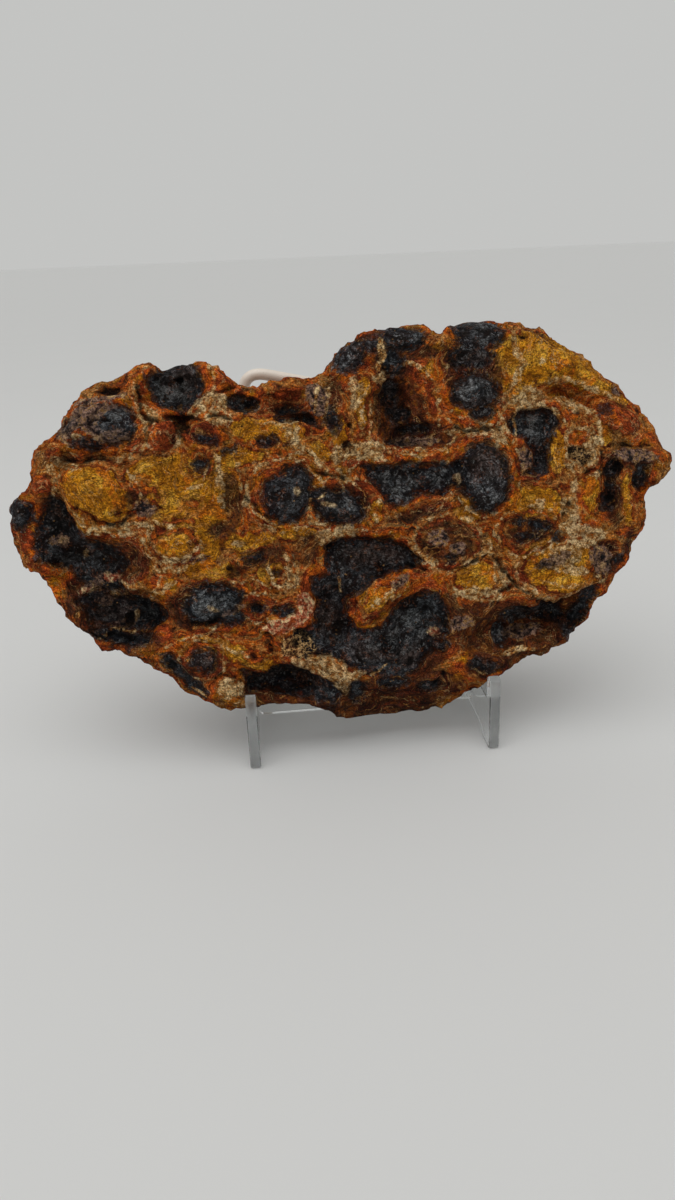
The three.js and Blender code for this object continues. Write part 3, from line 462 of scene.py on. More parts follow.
def nearness_to_outline(x, u, points):
    """How far inside a closed outline each point lies, and below 0 outside."""
    closed = points + points[:1]
    inside = np.zeros(len(x), bool)
    for (ax, au), (bx, bu) in zip(closed, closed[1:]):
        if au != bu:
            crosses = (u < au) != (u < bu)
            inside ^= crosses & (x < ax + (u - au) * (bx - ax) / (bu - au))
    return np.where(inside, 1, -1) * distance_to_line(x, u, closed)


def nearness(x, u, spots=(), outlines=(), lines=(), rings=()):
    """How far inside the nearest of these patches each point lies, and below 0 outside."""
    best = nearness_to_spots(x, u, spots)
    for *spot, half_width in rings:
        best = np.maximum(best, half_width - np.abs(nearness_to_spots(x, u, [spot])))
    for points in outlines:
        best = np.maximum(best, nearness_to_outline(x, u, points))
    for points, half_width in lines:
        best = np.maximum(best, half_width - distance_to_line(x, u, points))
    return best


def smooth(low, high, values):
    """0 up to low, 1 from high, and an eased step between them."""
    t = np.clip((values - low) / (high - low), 0, 1)
    return t * t * (3 - 2 * t)


def roughness_field(points, size, octaves=3, offset=0.0):
    """Noise of about -1 to 1 at each point, its lumps about as large as size, in millimetres."""
    scale = 1 / (size * MM)
    shift = Vector((offset, offset * 1.7, -offset))
    return np.array([noise.fractal(Vector(p) * scale + shift, 1.0, 2.1, octaves) for p in points])


def wandered(points, x, u, reach, size, offsets, octaves=2):
    """x and u pushed about by noise of the given size, by about reach, both in millimetres."""
    across = reach * roughness_field(points, size, octaves, offsets[0])
    upward = reach * roughness_field(points, size, octaves, offsets[1])
    return x + across, u + upward


def stone_patches(points):
    """Every kind of patch as how far inside it each point of the stone lies, in millimetres."""
    x, u, v = stone_frame(points)
    x, u = wandered(points, x, u, 0.9, 7, (3.0, 11.0))
    line_x, line_u = wandered(points, x, u, 0.7, 3.2, (83.0, 97.0))
    ring_x, ring_u = wandered(points, line_x, line_u, 1.6, 9, (113.0, 131.0))
    back_x, back_u = wandered(points, x, u, 9, 30, (151.0, 173.0), 4)
    front = {
        "black": nearness(x, u, BLACK_SPOTS, BLACK_OUTLINES, BLACK_LINES),
        "plum": nearness(x, u, PLUM_SPOTS),
        "worn": nearness(x, u, WORN_SPOTS),
        "umber": nearness(x, u, UMBER_SPOTS, [LOWER_DARK, LOW_EDGE, SHELL]),
        "ochre": nearness(x, u, OCHRE_SPOTS, [LEFT_OCHRE]),
        "orange": nearness(x, u, ORANGE_SPOTS, [TONGUE]),
        "red": np.maximum(nearness(x, u, RED_SPOTS), nearness(ring_x, ring_u, (), (), (), RED_RINGS)),
        "pink": nearness(x, u, PINK_SPOTS),
        "mauve": nearness(x, u, MAUVE_SPOTS, [MAUVE_NODULE]),
        "cream": nearness(x, u, CREAM_SPOTS, [CREAM_PATCH]),
        "thin": nearness(line_x, line_u, (), (), CREAM_LINES),
        "ring": nearness(ring_x, ring_u, (), (), (), PALE_RINGS),
        "fleck": nearness(x, u, FLECK_SPOTS),
        "crack": nearness(line_x, line_u, PIT_SPOTS, (), CRACK_LINES),
    }
    share = smooth(*FRONT_FADE, v)
    found = {}
    for kind, values in front.items():
        behind = nearness(back_x, back_u, BACK[kind])
        found[kind] = np.clip(share * values + (1 - share) * behind, -KEPT_REACH, KEPT_REACH)
    return found


# ---------- mesh helpers ----------

SAME_PLACE = 1e-6  # metres


def deselect_all():
    if bpy.context.object and bpy.context.object.mode != "OBJECT":
        bpy.ops.object.mode_set(mode="OBJECT")
    bpy.ops.object.select_all(action="DESELECT")


def make_active(obj):
    deselect_all()
    obj.select_set(True)
    bpy.context.view_layer.objects.active = obj


def merge_doubles(obj, recalculate=False):
    """Welds vertices that lie in the same place, and turns all faces outwards if asked."""
    make_active(obj)
    bpy.ops.object.mode_set(mode="EDIT")
    bpy.ops.mesh.select_all(action="SELECT")
    bpy.ops.mesh.remove_doubles(threshold=SAME_PLACE)
    if recalculate:
        bpy.ops.mesh.normals_make_consistent(inside=False)
    bpy.ops.object.mode_set(mode="OBJECT")


def vertex_places(mesh):
    places = np.empty(len(mesh.vertices) * 3)
    mesh.vertices.foreach_get("co", places)
    return places.reshape(-1, 3)


def set_vertex_places(mesh, places):
    mesh.vertices.foreach_set("co", places.ravel())
    mesh.update()


def vertex_normals(mesh):
    normals = np.empty(len(mesh.vertices) * 3, np.float32)
    mesh.vertex_normals.foreach_get("vector", normals)
    return normals.reshape(-1, 3).astype(float)


def set_attribute(mesh, name, values):
    attribute = mesh.attributes.new(name, "FLOAT", "POINT")
    attribute.data.foreach_set("value", np.asarray(values, np.float32))


def apply_modifier(obj, kind, **settings):
    make_active(obj)
    modifier = obj.modifiers.new(kind.title(), kind)
    for key, value in settings.items():
        setattr(modifier, key, value)
    bpy.ops.object.modifier_apply(modifier=modifier.name)


def paint(obj, material):
    obj.data.materials.clear()
    obj.data.materials.append(material)


# ---------- shader helpers ----------


def new_node(tree, kind, inputs=None, **settings):
    """Adds a node. Its inputs are given by name or number, each a value or another node's socket."""
    made = tree.nodes.new(kind)
    for key, value in settings.items():
        setattr(made, key, value)
    for key, value in (inputs or {}).items():
        if isinstance(value, bpy.types.NodeSocket):
            tree.links.new(value, made.inputs[key])
        else:
            made.inputs[key].default_value = value
    return made


def object_place(tree):
    return tree.nodes.new("ShaderNodeTexCoord").outputs["Object"]


def calc(tree, operation, a, b=0.0, clamp=False):
    made = new_node(tree, "ShaderNodeMath", {0: a, 1: b}, operation=operation, use_clamp=clamp)
    return made.outputs[0]


def vector_calc(tree, operation, a, b, output=0):
    """Two vectors put together; for SCALE, the second is a number."""
    second = "Scale" if operation == "SCALE" else 1
    made = new_node(tree, "ShaderNodeVectorMath", {0: a, second: b}, operation=operation)
    return made.outputs[output]


def rgba(colour):
    return (*tuple(colour)[:3], 1.0)


def mix_colour(tree, factor, under, over, blend="MIX"):
    values = {0: factor, 6: under, 7: over}
    for key in (6, 7):
        if not isinstance(values[key], bpy.types.NodeSocket):
            values[key] = rgba(values[key])
    made = new_node(tree, "ShaderNodeMix", values, data_type="RGBA", blend_type=blend)
    return made.outputs[2]


def noise_at(tree, place, size, detail=3.0, roughness=0.55):
    """Noise from 0 to 1 whose lumps are about as large as size, in millimetres."""
    made = new_node(tree, "ShaderNodeTexNoise", {
        "Vector": place, "Scale": 1 / (size * MM), "Detail": detail, "Roughness": roughness})
    return made.outputs["Fac"]


def cells_at(tree, place, size, feature="F1"):
    """How far a point is from the middle, or from the edge, of its cell; cells are about size wide."""
    made = new_node(tree, "ShaderNodeTexVoronoi", {
        "Vector": place, "Scale": 1 / (size * MM)}, feature=feature)
    return made.outputs["Distance"]


def banded_noise(tree, place, length, along):
    """Noise in bands across a value, each about 1 wide in it and fading over length millimetres."""
    made = new_node(tree, "ShaderNodeTexNoise", {
        "Vector": place, "W": calc(tree, "MULTIPLY", along, length * MM), "Scale": 1 / (length * MM),
        "Detail": 4.0, "Roughness": 0.6}, noise_dimensions="4D")
    return made.outputs["Fac"]


def swirled(tree, place, size, reach):
    """Places pushed about by noise of the given size, by up to reach, both in millimetres."""
    push = new_node(tree, "ShaderNodeTexNoise", {
        "Vector": place, "Scale": 1 / (size * MM), "Detail": 2.0})
    centred = vector_calc(tree, "SUBTRACT", push.outputs["Color"], (0.5, 0.5, 0.5))
    return vector_calc(tree, "ADD", place, vector_calc(tree, "SCALE", centred, 2 * reach * MM))


def ramp(tree, factor, stops):
    """A colour that follows a value through some stops, each a position and a colour."""
    made = new_node(tree, "ShaderNodeValToRGB", {"Fac": factor})
    elements = made.color_ramp.elements
    while len(elements) < len(stops):
        elements.new(0.5)
    for element, (position, colour) in zip(elements, stops):
        element.position = position
    for element, (position, colour) in zip(elements, stops):
        element.color = rgba(colour)
    return made.outputs["Color"]


def steps(tree, factor, first, levels, soft=0.008):
    """A colour that follows a value in steps: the first, then each from its level up."""
    stops = [(0.0, first)]
    for level, colour in levels:
        stops += [(level - soft, stops[-1][1]), (level + soft, colour)]
    return ramp(tree, factor, stops)


def step_up(tree, value, low, high):
    made = new_node(tree, "ShaderNodeMapRange", {
        "Value": value, "From Min": low, "From Max": high,
    }, interpolation_type="SMOOTHSTEP")
    return made.outputs["Result"]


def new_group(name, inputs, outputs):
    tree = bpy.data.node_groups.new(name, "ShaderNodeTree")
    for socket, value in inputs.items():
        made = tree.interface.new_socket(socket, in_out="INPUT", socket_type="NodeSocketFloat")
        made.default_value = value
    for socket in outputs:
        tree.interface.new_socket(socket, in_out="OUTPUT", socket_type="NodeSocketFloat")
    return tree, tree.nodes.new("NodeGroupInput").outputs, tree.nodes.new("NodeGroupOutput").inputs


def patch_edge_group():
    """A mask from how far inside a patch a point lies, with an edge that wanders by noise."""
    if "Patch edge" in bpy.data.node_groups:
        return bpy.data.node_groups["Patch edge"]
    tree, given, out = new_group(
        "Patch edge", {"Inside": 0.0, "Softness": 0.4, "Wander": 1.0, "Noise": 0.5}, ["Mask"])
    swing = calc(tree, "MULTIPLY", calc(tree, "SUBTRACT", given["Noise"], 0.5), given["Wander"])
    inside = calc(tree, "ADD", given["Inside"], swing)
    span = calc(tree, "MULTIPLY", given["Softness"], 2.0)
    mask = calc(tree, "DIVIDE", calc(tree, "ADD", inside, given["Softness"]), span, clamp=True)
    tree.links.new(mask, out["Mask"])
    return tree


def handling_marks_group():
    """Faint smears and dust over a smooth surface: a mask, and a height for bump."""
    if "Handling marks" in bpy.data.node_groups:
        return bpy.data.node_groups["Handling marks"]
    tree, given, out = new_group(
        "Handling marks", {"Smear size": 8.0, "Dust size": 0.5}, ["Smears", "Dust", "Height"])
    place = object_place(tree)
    smear_scale = calc(tree, "DIVIDE", 1 / MM, given["Smear size"])
    dust_scale = calc(tree, "DIVIDE", 1 / MM, given["Dust size"])
    smears = new_node(tree, "ShaderNodeTexNoise", {"Vector": place, "Scale": smear_scale, "Detail": 3.0})
    dust = new_node(tree, "ShaderNodeTexNoise", {"Vector": place, "Scale": dust_scale, "Detail": 1.0})
    tree.links.new(step_up(tree, smears.outputs["Fac"], 0.42, 0.72), out["Smears"])
    tree.links.new(step_up(tree, dust.outputs["Fac"], 0.66, 0.74), out["Dust"])
    tree.links.new(smears.outputs["Fac"], out["Height"])
    return tree


def handling_marks(tree, smear_size, dust_size):
    """The handling marks in a material, their smears and dust about as large as given."""
    made = new_node(tree, "ShaderNodeGroup", {"Smear size": smear_size, "Dust size": dust_size},
                    node_tree=handling_marks_group())
    return made.outputs


def bump_from(tree, shader, height, strength, distance):
    """Bump on a material, its distance in millimetres."""
    made = new_node(tree, "ShaderNodeBump", {
        "Height": height, "Strength": strength, "Distance": distance * MM})
    tree.links.new(made.outputs["Normal"], shader.inputs["Normal"])


def new_material(name, **sockets):
    """A material with a Principled shader, its constants set on its own sockets."""
    material = bpy.data.materials.new(name)
    material.use_nodes = True
    tree = material.node_tree
    shader = tree.nodes["Principled BSDF"]
    for key, value in sockets.items():
        shader.inputs[key.replace("_", " ")].default_value = value
    return material, tree, shader


# ---------- the stone ----------


def neighbour_mean(values, edges, counts):
    """Each vertex's mean of its neighbours' values."""
    summed = np.zeros_like(values)
    for axis in range(values.shape[1]):
        column = values[:, axis]
        summed[:, axis] = np.bincount(edges[:, 0], column[edges[:, 1]], len(values))
        summed[:, axis] += np.bincount(edges[:, 1], column[edges[:, 0]], len(values))
    return summed / counts[:, None]


def hollowness(mesh, rounds):
    """How far each vertex lies below its surroundings, in millimetres; lumps are below 0."""
    edges = np.empty(len(mesh.edges) * 2, np.int32)
    mesh.edges.foreach_get("vertices", edges)
    edges = edges.reshape(-1, 2)
    places = vertex_places(mesh)
    counts = np.bincount(edges.ravel(), minlength=len(places)).astype(float)
    eased = places
    for _ in range(rounds):
        eased = 0.3 * eased + 0.7 * neighbour_mean(eased, edges, counts)
    return np.einsum("ij,ij->i", eased - places, vertex_normals(mesh)) / MM


def hump(values, middle, width):
    """1 where a value is at its middle, and less on both sides of it."""
    return np.exp(-((values - middle) / width) ** 2)


def stone_relief(points, normals, patches):
    """How far each point of the stone moves out along its normal, in millimetres."""
    x, u, _ = stone_frame(points)
    out_of_face = normals @ np.array([0, -math.cos(LEAN), math.sin(LEAN)])
    side = 1 - smooth(0.35, 0.85, np.abs(out_of_face))
    black = patches["black"]
    cream = np.maximum(patches["cream"], np.maximum(patches["thin"], patches["ring"]))
    nodule = smooth(-0.6, 1.4, black)
    # crags, ridges and pits, calmer on the nodules and rougher round the edge, with flow lines
    crag = roughness_field(points, 9.0, 5, 21.0)
    ridge = 0.5 - np.abs(roughness_field(points, 5.5, 3, 57.0))
    pitting = roughness_field(points, 2.6, 2, 33.0)
    flow = np.sin(-1.5 * black + 2.6 * roughness_field(points, 15.0, 2, 71.0))
    out = (1 - 0.4 * nodule) * (0.75 * crag + 0.4 * ridge + 0.3 * pitting) + 0.14 * flow * (1 - nodule)
    out += side * (1.5 * crag + 0.9 * ridge + 0.3 * pitting)
    # a lip round each nodule and a groove at its edge
    out += 0.5 * hump(black, -1.8, 1.1) - 0.6 * hump(black, 0.1, 0.9)
    # veins, ochre and red stand out, and umber and cracks sink in
    out += 0.35 * smooth(-0.5, 0.5, cream) * (1 - nodule)
    out += 0.35 * smooth(-0.6, 0.8, patches["ochre"]) + 0.3 * smooth(-0.8, 1.0, patches["red"])
    out -= 0.35 * smooth(-1, 2, patches["umber"]) + 1.1 * smooth(-0.9, 0.7, patches["crack"])
    for trim_x, trim_u, reach, depth in EDGE_TRIMS:
        out -= depth * side * np.exp(-((x - trim_x) ** 2 + (u - trim_u) ** 2) / reach**2)
    low, high = (np.array(corner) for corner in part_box("specimen"))
    room = np.minimum(points - low, high - points).min(axis=1) / MM
    return np.where(out > 0, out * smooth(0.0, 3.0, room), out)


def keep_clear(points):
    """Moves the stone's points off the easel and the wire, and back into the stone's own box."""
    x = points[:, 0] / MM - SHIFT[0]
    y = points[:, 1] / MM - SHIFT[1]
    z = points[:, 2] / MM
    off_middle = np.abs(x)
    by_plate = np.abs(off_middle - PLATE_X) < PLATE_THICK / 2 + EDGE_MARGIN
    shelf, lip = SHELF_Z + SHEET_GAP, LIP_DEPTH + SHEET_GAP
    before_rest = REST_Y + (z - SHELF_Z) * math.tan(LEAN) - SHEET_GAP
    z = np.where(by_plate & (z < shelf) & (y < REST_Y), shelf, z)
    y = np.where(by_plate & (z < LIP_TOP_Z + 1) & (y < lip), lip, y)
    between = (off_middle < PLATE_X + PLATE_THICK) & (z < PLATE_TOP_Z + 2)
    y = np.where(between & (y > before_rest), before_rest, y)
    by_wire = (off_middle < WIRE_HALF_WIDTH + 5) & (z < WIRE_CORNER_Z + 4) & (z > PLATE_TOP_Z)
    y = np.where(by_wire, np.minimum(y, WIRE_Y - WIRE_GAP), y)
    moved = np.stack(row_point(x, y, z), axis=1)
    low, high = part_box("specimen")
    return np.clip(moved, np.array(low) + BOX_MARGIN * MM, np.array(high) - BOX_MARGIN * MM)


def stone_material(look):
    material, tree, shader = new_material("Banded hematite rock", Specular_IOR_Level=0.1)
    plain = object_place(tree)
    place = swirled(tree, plain, 9.0, 2.0)
    bent = swirled(tree, plain, 3.5, 1.0)
    broad = noise_at(tree, place, 14, 4, 0.55)
    calm = noise_at(tree, place, 6, 1, 0.5)
    middle = noise_at(tree, place, 4.5, 7, 0.6)
    second = noise_at(tree, bent, 2.1, 5, 0.62)
    flat = vector_calc(tree, "MULTIPLY", place, (0.45, 0.8, 1.5))
    fibres = noise_at(tree, flat, 1.9, 4, 0.62)
    fine = noise_at(tree, bent, 0.95, 3, 0.6)
    grain = noise_at(tree, plain, 0.55, 2, 0.6)
    stain = noise_at(tree, plain, 9, 4, 0.6)

    def times(a, b):
        return calc(tree, "MULTIPLY", a, b)

    def plus(a, b):
        return calc(tree, "ADD", a, b)

    def weighed(*parts):
        """The sum of some values, each times its weight."""
        total = times(*parts[0])
        for value, weight in parts[1:]:
            total = plus(total, times(value, weight))
        return total

    def inside(kind):
        return new_node(tree, "ShaderNodeAttribute", attribute_name=kind).outputs["Fac"]

    def above(value, level, soft=0.02):
        return step_up(tree, value, level - soft, level + soft)

    def below(value, level, soft=0.02):
        return step_up(tree, value, level + soft, level - soft)

    def cover(under, over, where, share=1.0):
        """Lays a colour over another where a mask is up, by no more than a share."""
        return mix_colour(tree, where if share == 1 else times(where, share), under, over)

    def grained(under, value, spread, dark, pale, share):
        """Darkens and lightens a colour by the grains of a value."""
        grains = mix_colour(tree, step_up(tree, value, *spread), dark, pale)
        return mix_colour(tree, share, under, grains, "MULTIPLY")

    ragged = weighed((middle, 0.5), (second, 0.5))

    def mask(kind, softness, wander):
        made = new_node(tree, "ShaderNodeGroup", {
            "Inside": inside(kind), "Softness": softness, "Wander": wander, "Noise": ragged,
        }, node_tree=patch_edge_group())
        return made.outputs["Mask"]

    def rim(kind, low, high, soft=0.3, wander=8.0):
        """A band round a kind of patch, from low to high millimetres inside its edge."""
        at = plus(inside(kind), times(plus(ragged, -0.5), wander))
        return times(step_up(tree, at, low - soft, low + soft), step_up(tree, at, high + soft, high - soft))

    def line_at(value, level, width):
        """A thin line wherever a value passes a level."""
        return step_up(tree, calc(tree, "ABSOLUTE", plus(value, -level)), width, width * 0.4)

    # flow bands of uneven width that run round the nodules and the ochre
    away = weighed((inside("black"), -0.34), (inside("ochre"), 0.18), (inside("cream"), 0.12), (calm, 2.4))
    bands = banded_noise(tree, place, 15.0, plus(away, times(broad, 3.6)))
    strokes = banded_noise(tree, bent, 8.0, weighed((away, 2.6), (second, 0.8)))
    threads = banded_noise(tree, bent, 3.6, weighed((away, 5.0), (second, 0.8)))
    slow = weighed((calm, 0.65), (threads, 0.35))
    colour = steps(tree, bands, look.umber, [
        (0.395, look.matrix_dark), (0.435, look.red), (0.465, look.orange), (0.505, look.matrix),
        (0.545, look.ochre_deep), (0.575, look.matrix_light), (0.625, look.cream_deep)])
    colour = cover(colour, look.red, above(broad, 0.56, 0.03), 0.45)
    colour = cover(colour, look.ochre_deep, above(stain, 0.56, 0.03), 0.45)
    colour = cover(colour, look.orange, above(strokes, 0.54, 0.02), 0.4)
    colour = cover(colour, look.matrix_dark, below(strokes, 0.45, 0.02), 0.5)

    # rims round the nodules, rust red, then a broken pale line, each coming and going
    warm = steps(tree, slow, look.red_deep, [
        (0.43, look.red), (0.49, look.orange), (0.57, look.ochre_deep)], 0.02)
    colour = cover(colour, warm, times(rim("black", -4.4, -0.7), above(stain, 0.43, 0.05)), 0.85)
    pale_rim = times(rim("black", -6.2, -4.6), times(above(stain, 0.48, 0.05), above(second, 0.46)))
    colour = cover(colour, look.matrix_light, pale_rim, 0.75)

    # orange, ochre and red patches, the last two with a dark line and a pale one round them
    orange = steps(tree, slow, look.red_deep, [
        (0.41, look.red), (0.47, look.orange), (0.56, look.ochre_deep), (0.62, look.ochre)], 0.02)
    colour = cover(colour, orange, mask("orange", 0.5, 11), 0.9)
    ochre = ramp(tree, slow, [(0.4, look.ochre_deep), (0.5, look.ochre), (0.6, look.ochre_light)])
    ochre = cover(ochre, look.orange, below(stain, 0.43, 0.03), 0.6)
    ochre = cover(ochre, look.ochre_deep, above(stain, 0.55, 0.03), 0.7)
    colour = cover(colour, ochre, mask("ochre", 0.3, 9), 0.95)
    red_rim = times(rim("ochre", -0.5, 0.4, 0.2), above(broad, 0.47, 0.03))
    colour = cover(colour, look.red_deep, red_rim, 0.8)
    pale_rim = times(rim("ochre", -2.4, -1.0), above(second, 0.47))
    colour = cover(colour, look.matrix_light, pale_rim, 0.6)
    red = steps(tree, slow, look.red_deep, [(0.46, look.red), (0.56, look.orange)], 0.02)
    colour = cover(colour, red, mask("red", 0.3, 9), 0.9)
    colour = cover(colour, look.umber, rim("red", -0.5, 0.3, 0.2), 0.5)
    colour = cover(colour, look.matrix_light, times(rim("red", -1.9, -0.7), above(second, 0.47)), 0.5)

    # cream crusts, umber, mauve growths, then flow lines and pale rings over them
    cream = ramp(tree, second, [(0.38, look.matrix_light), (0.44, look.cream_deep), (0.51, look.cream),
                                (0.6, look.cream_light)])
    tan = ramp(tree, second, [(0.4, look.matrix), (0.46, look.matrix_light), (0.54, look.cream),
                              (0.62, look.cream_light)])
    broken = times(above(fine, 0.38, 0.05), above(second, 0.38, 0.04))
    colour = cover(colour, cream, times(mask("cream", 0.4, 12), broken), 0.75)
    umber = steps(tree, slow, look.black_deep, [(0.42, look.umber), (0.52, look.plum),
                                                (0.57, look.matrix_dark)], 0.02)
    colour = cover(colour, umber, mask("umber", 1.2, 13), 0.85)
    mauve = ramp(tree, second, [(0.4, look.black), (0.44, look.mauve_deep), (0.52, look.mauve),
                                (0.62, look.cream_deep)])
    colour = cover(colour, mauve, mask("mauve", 0.4, 9), 0.95)
    # an umber band round each nodule over the groove the relief cuts there: partly its brown rim, partly
    # painted shade in the groove
    colour = cover(colour, look.umber, rim("black", -1.0, 0.4, 0.3, 10), 0.7)
    colour = cover(colour, look.umber, below(strokes, 0.4, 0.02), 0.5)
    colour = cover(colour, look.matrix_light, above(strokes, 0.61, 0.02), 0.5)
    colour = cover(colour, look.red_deep, times(line_at(strokes, 0.5, 0.02), above(stain, 0.48, 0.04)), 0.7)
    colour = cover(colour, look.cream, line_at(bands, 0.585, 0.01), 0.6)
    colour = cover(colour, tan, times(mask("ring", 0.25, 6), above(middle, 0.45, 0.03)), 0.75)
    scribble = times(line_at(middle, 0.49, 0.006), above(calm, 0.47, 0.03))
    colour = cover(colour, look.umber, scribble, 0.6)

    # the hematite itself, blue black to purple brown, worn grey, dusted with rust and with painted grey
    # glints
    tone = ramp(tree, slow, [(0.4, look.black_deep), (0.46, look.black), (0.56, look.black_light)])
    plum = ramp(tree, slow, [(0.4, look.black_deep), (0.47, look.plum), (0.58, look.mauve_deep)])
    tone = cover(tone, plum, mask("plum", 2.0, 14), 0.6)
    worn = ramp(tree, slow, [(0.4, look.black), (0.5, look.black_light), (0.6, look.grey)])
    worn_mask = mask("worn", 2.5, 14)
    tone = cover(tone, worn, worn_mask, 0.85)
    tone = cover(tone, look.blue_black, rim("black", 0.3, 2.2, 0.5, 9), 0.6)
    tone = cover(tone, look.matrix_dark, times(above(middle, 0.57, 0.02), above(fine, 0.48, 0.04)), 0.55)
    # painted glints: grey highlight specks where the nodules are also made metallic, more of them on the
    # worn nodules
    painted_glints = times(above(second, 0.54, 0.03), above(fine, 0.52, 0.03))
    tone = cover(tone, look.grey, times(painted_glints, plus(times(worn_mask, 0.4), 0.45)))
    tone = cover(tone, look.black_deep, line_at(strokes, 0.47, 0.03), 0.8)
    tone = cover(tone, look.black_deep, below(second, 0.43, 0.03), 0.7)
    black_mask = mask("black", 0.9, 12)
    colour = cover(colour, tone, black_mask, 0.98)

    # what lies over the nodules too: crusts, flecks, veins and cracks
    colour = cover(colour, cream, times(mask("cream", 0.4, 5), broken), 0.5)
    colour = cover(colour, mauve, mask("mauve", 0.4, 7), 0.55)
    pink = ramp(tree, second, [(0.38, look.red), (0.48, look.pink), (0.58, look.cream_light)])
    colour = cover(colour, pink, mask("pink", 0.5, 8), 0.85)
    fleck = ramp(tree, fine, [(0.46, look.blue_black), (0.51, look.cream_deep), (0.57, look.cream)])
    colour = cover(colour, fleck, mask("fleck", 0.6, 11), 0.85)
    thin = times(mask("thin", 0.25, 2.5), above(fine, 0.4, 0.06))
    colour = cover(colour, tan, thin, 0.9)
    # the cracks' near-black is partly painted shade in the grooves that the relief cuts
    crack_mask = times(mask("crack", 0.3, 4.0), above(fine, 0.4, 0.06))
    colour = cover(colour, look.black_deep, crack_mask, 0.85)

    # crackle, specks and grains over everything, the first grains partly painted shade and light; then
    # painted shade in the hollows and on the undersides, and painted light on the lumps
    crackle = cells_at(tree, bent, 5.0, "DISTANCE_TO_EDGE")
    crackle = times(below(crackle, 0.03, 0.015), above(calm, 0.5, 0.06))
    colour = cover(colour, look.black_deep, crackle, 0.2)
    dark_specks = times(below(cells_at(tree, bent, 2.8), 0.14, 0.04), above(calm, 0.5, 0.05))
    colour = cover(colour, look.umber, dark_specks, 0.75)
    pale_specks = times(below(cells_at(tree, place, 3.6), 0.1, 0.03), below(calm, 0.5, 0.05))
    colour = cover(colour, look.cream_deep, pale_specks, 0.6)
    # these grains share the bump's fibres and fine noise: partly grain, partly painted shade in the bump's
    # dips and painted light on its rises
    grain_and_relief_shade = weighed((threads, 0.25), (fibres, 0.25), (second, 0.2), (fine, 0.3))
    colour = grained(colour, grain_and_relief_shade, (0.43, 0.57), (0.53, 0.49, 0.45), (1.46, 1.44, 1.4), 0.95)
    colour = grained(colour, grain, (0.34, 0.66), (0.6, 0.57, 0.54), (1.42, 1.4, 1.37), 0.9)
    # painted shade: darker where the mesh lies below its surroundings; painted light: brighter on its lumps
    low = weighed((inside("hollow"), 0.6), (inside("deep"), 0.13))
    shade = ramp(tree, plus(times(low, 0.5), 0.5), [
        (0.25, (1.25, 1.25, 1.25)), (0.5, (1.0, 0.98, 0.96)), (0.75, (0.6, 0.55, 0.5)),
        (1.0, (0.42, 0.38, 0.35))])
    colour = mix_colour(tree, 0.9, colour, shade, "MULTIPLY")
    # painted shade on the faces that turn down
    colour = mix_colour(tree, times(inside("underside"), 0.8), colour, (0.42, 0.32, 0.28), "MULTIPLY")
    tree.links.new(colour, shader.inputs["Base Color"])

    # dull earth, nodules with a little shine and rough grain everywhere
    rough = calc(tree, "SUBTRACT", 0.95, times(black_mask, 0.35))
    rough = calc(tree, "ADD", rough, times(plus(fine, -0.5), 0.6), clamp=True)
    tree.links.new(rough, shader.inputs["Roughness"])
    tree.links.new(times(black_mask, times(above(second, 0.54, 0.05), 0.5)), shader.inputs["Metallic"])

    height = weighed((middle, 1.2), (fibres, 0.9), (fine, 0.5), (strokes, 0.4),
                     (cells_at(tree, place, 3.2), -0.4), (crack_mask, -0.5), (crackle, -0.3))
    bump_from(tree, shader, height, 1.0, 3.2)
    return material


class HematiteStone(bpy.types.PropertyGroup):
    levels: IntProperty(name="Smoothing levels", description="Subdivisions of the stone's solid",
                        default=2, min=0, max=3)
    relief: FloatProperty(name="Relief", description="Strength of the small lumps, rims and cracks",
                          default=1.0, min=0.0, max=1.5, subtype="FACTOR")
    matrix: swatch("Matrix", "Earthy orange brown between the nodules", 170, 108, 52)
    matrix_light: swatch("Light matrix", "Paler tan streaks of the matrix", 188, 136, 74)
    matrix_dark: swatch("Dark matrix", "Darker brown of the matrix", 102, 56, 26)
    ochre: swatch("Ochre", "Yellow ochre patches", 204, 140, 28)
    ochre_deep: swatch("Deep ochre", "Olive brown parts of the ochre", 170, 110, 20)
    ochre_light: swatch("Light ochre", "Palest parts of the ochre", 222, 170, 60)
    orange: swatch("Orange", "Rust orange patches", 198, 98, 24)
    red: swatch("Red", "Red nodules and bands", 168, 72, 34)
    red_deep: swatch("Deep red", "Deep red rims and grains", 108, 42, 20)
    # umber is partly the stone's dark brown and partly painted shade in its hollows
    umber: swatch("Umber", "Dark brown hollows and flow lines", 56, 34, 20)
    black: swatch("Hematite", "Blue black of the nodules", 30, 34, 40)
    black_light: swatch("Worn hematite", "Grey where the black is worn", 68, 75, 82)
    black_deep: swatch("Deep black", "Depths of cracks and pinholes", 13, 13, 14)
    blue_black: swatch("Blue black", "Edges of the nodules", 18, 25, 36)
    # grey is both the worn grey of some nodules and the colour of their painted glints
    grey: swatch("Grey", "Rubbed grains of the hematite", 116, 121, 126)
    plum: swatch("Plum hematite", "Purple brown of some nodules", 58, 44, 40)
    mauve: swatch("Mauve", "Weathered grey mauve growths", 138, 113, 102)
    mauve_deep: swatch("Deep mauve", "Darker grains of the mauve", 86, 68, 62)
    cream: swatch("Cream", "Cream veins and crusts", 188, 157, 110)
    cream_deep: swatch("Deep cream", "Darker grains of the cream", 152, 116, 70)
    cream_light: swatch("Light cream", "Palest grains of the cream", 216, 192, 148)
    pink: swatch("Pink", "Pinkish red crust", 190, 116, 90)


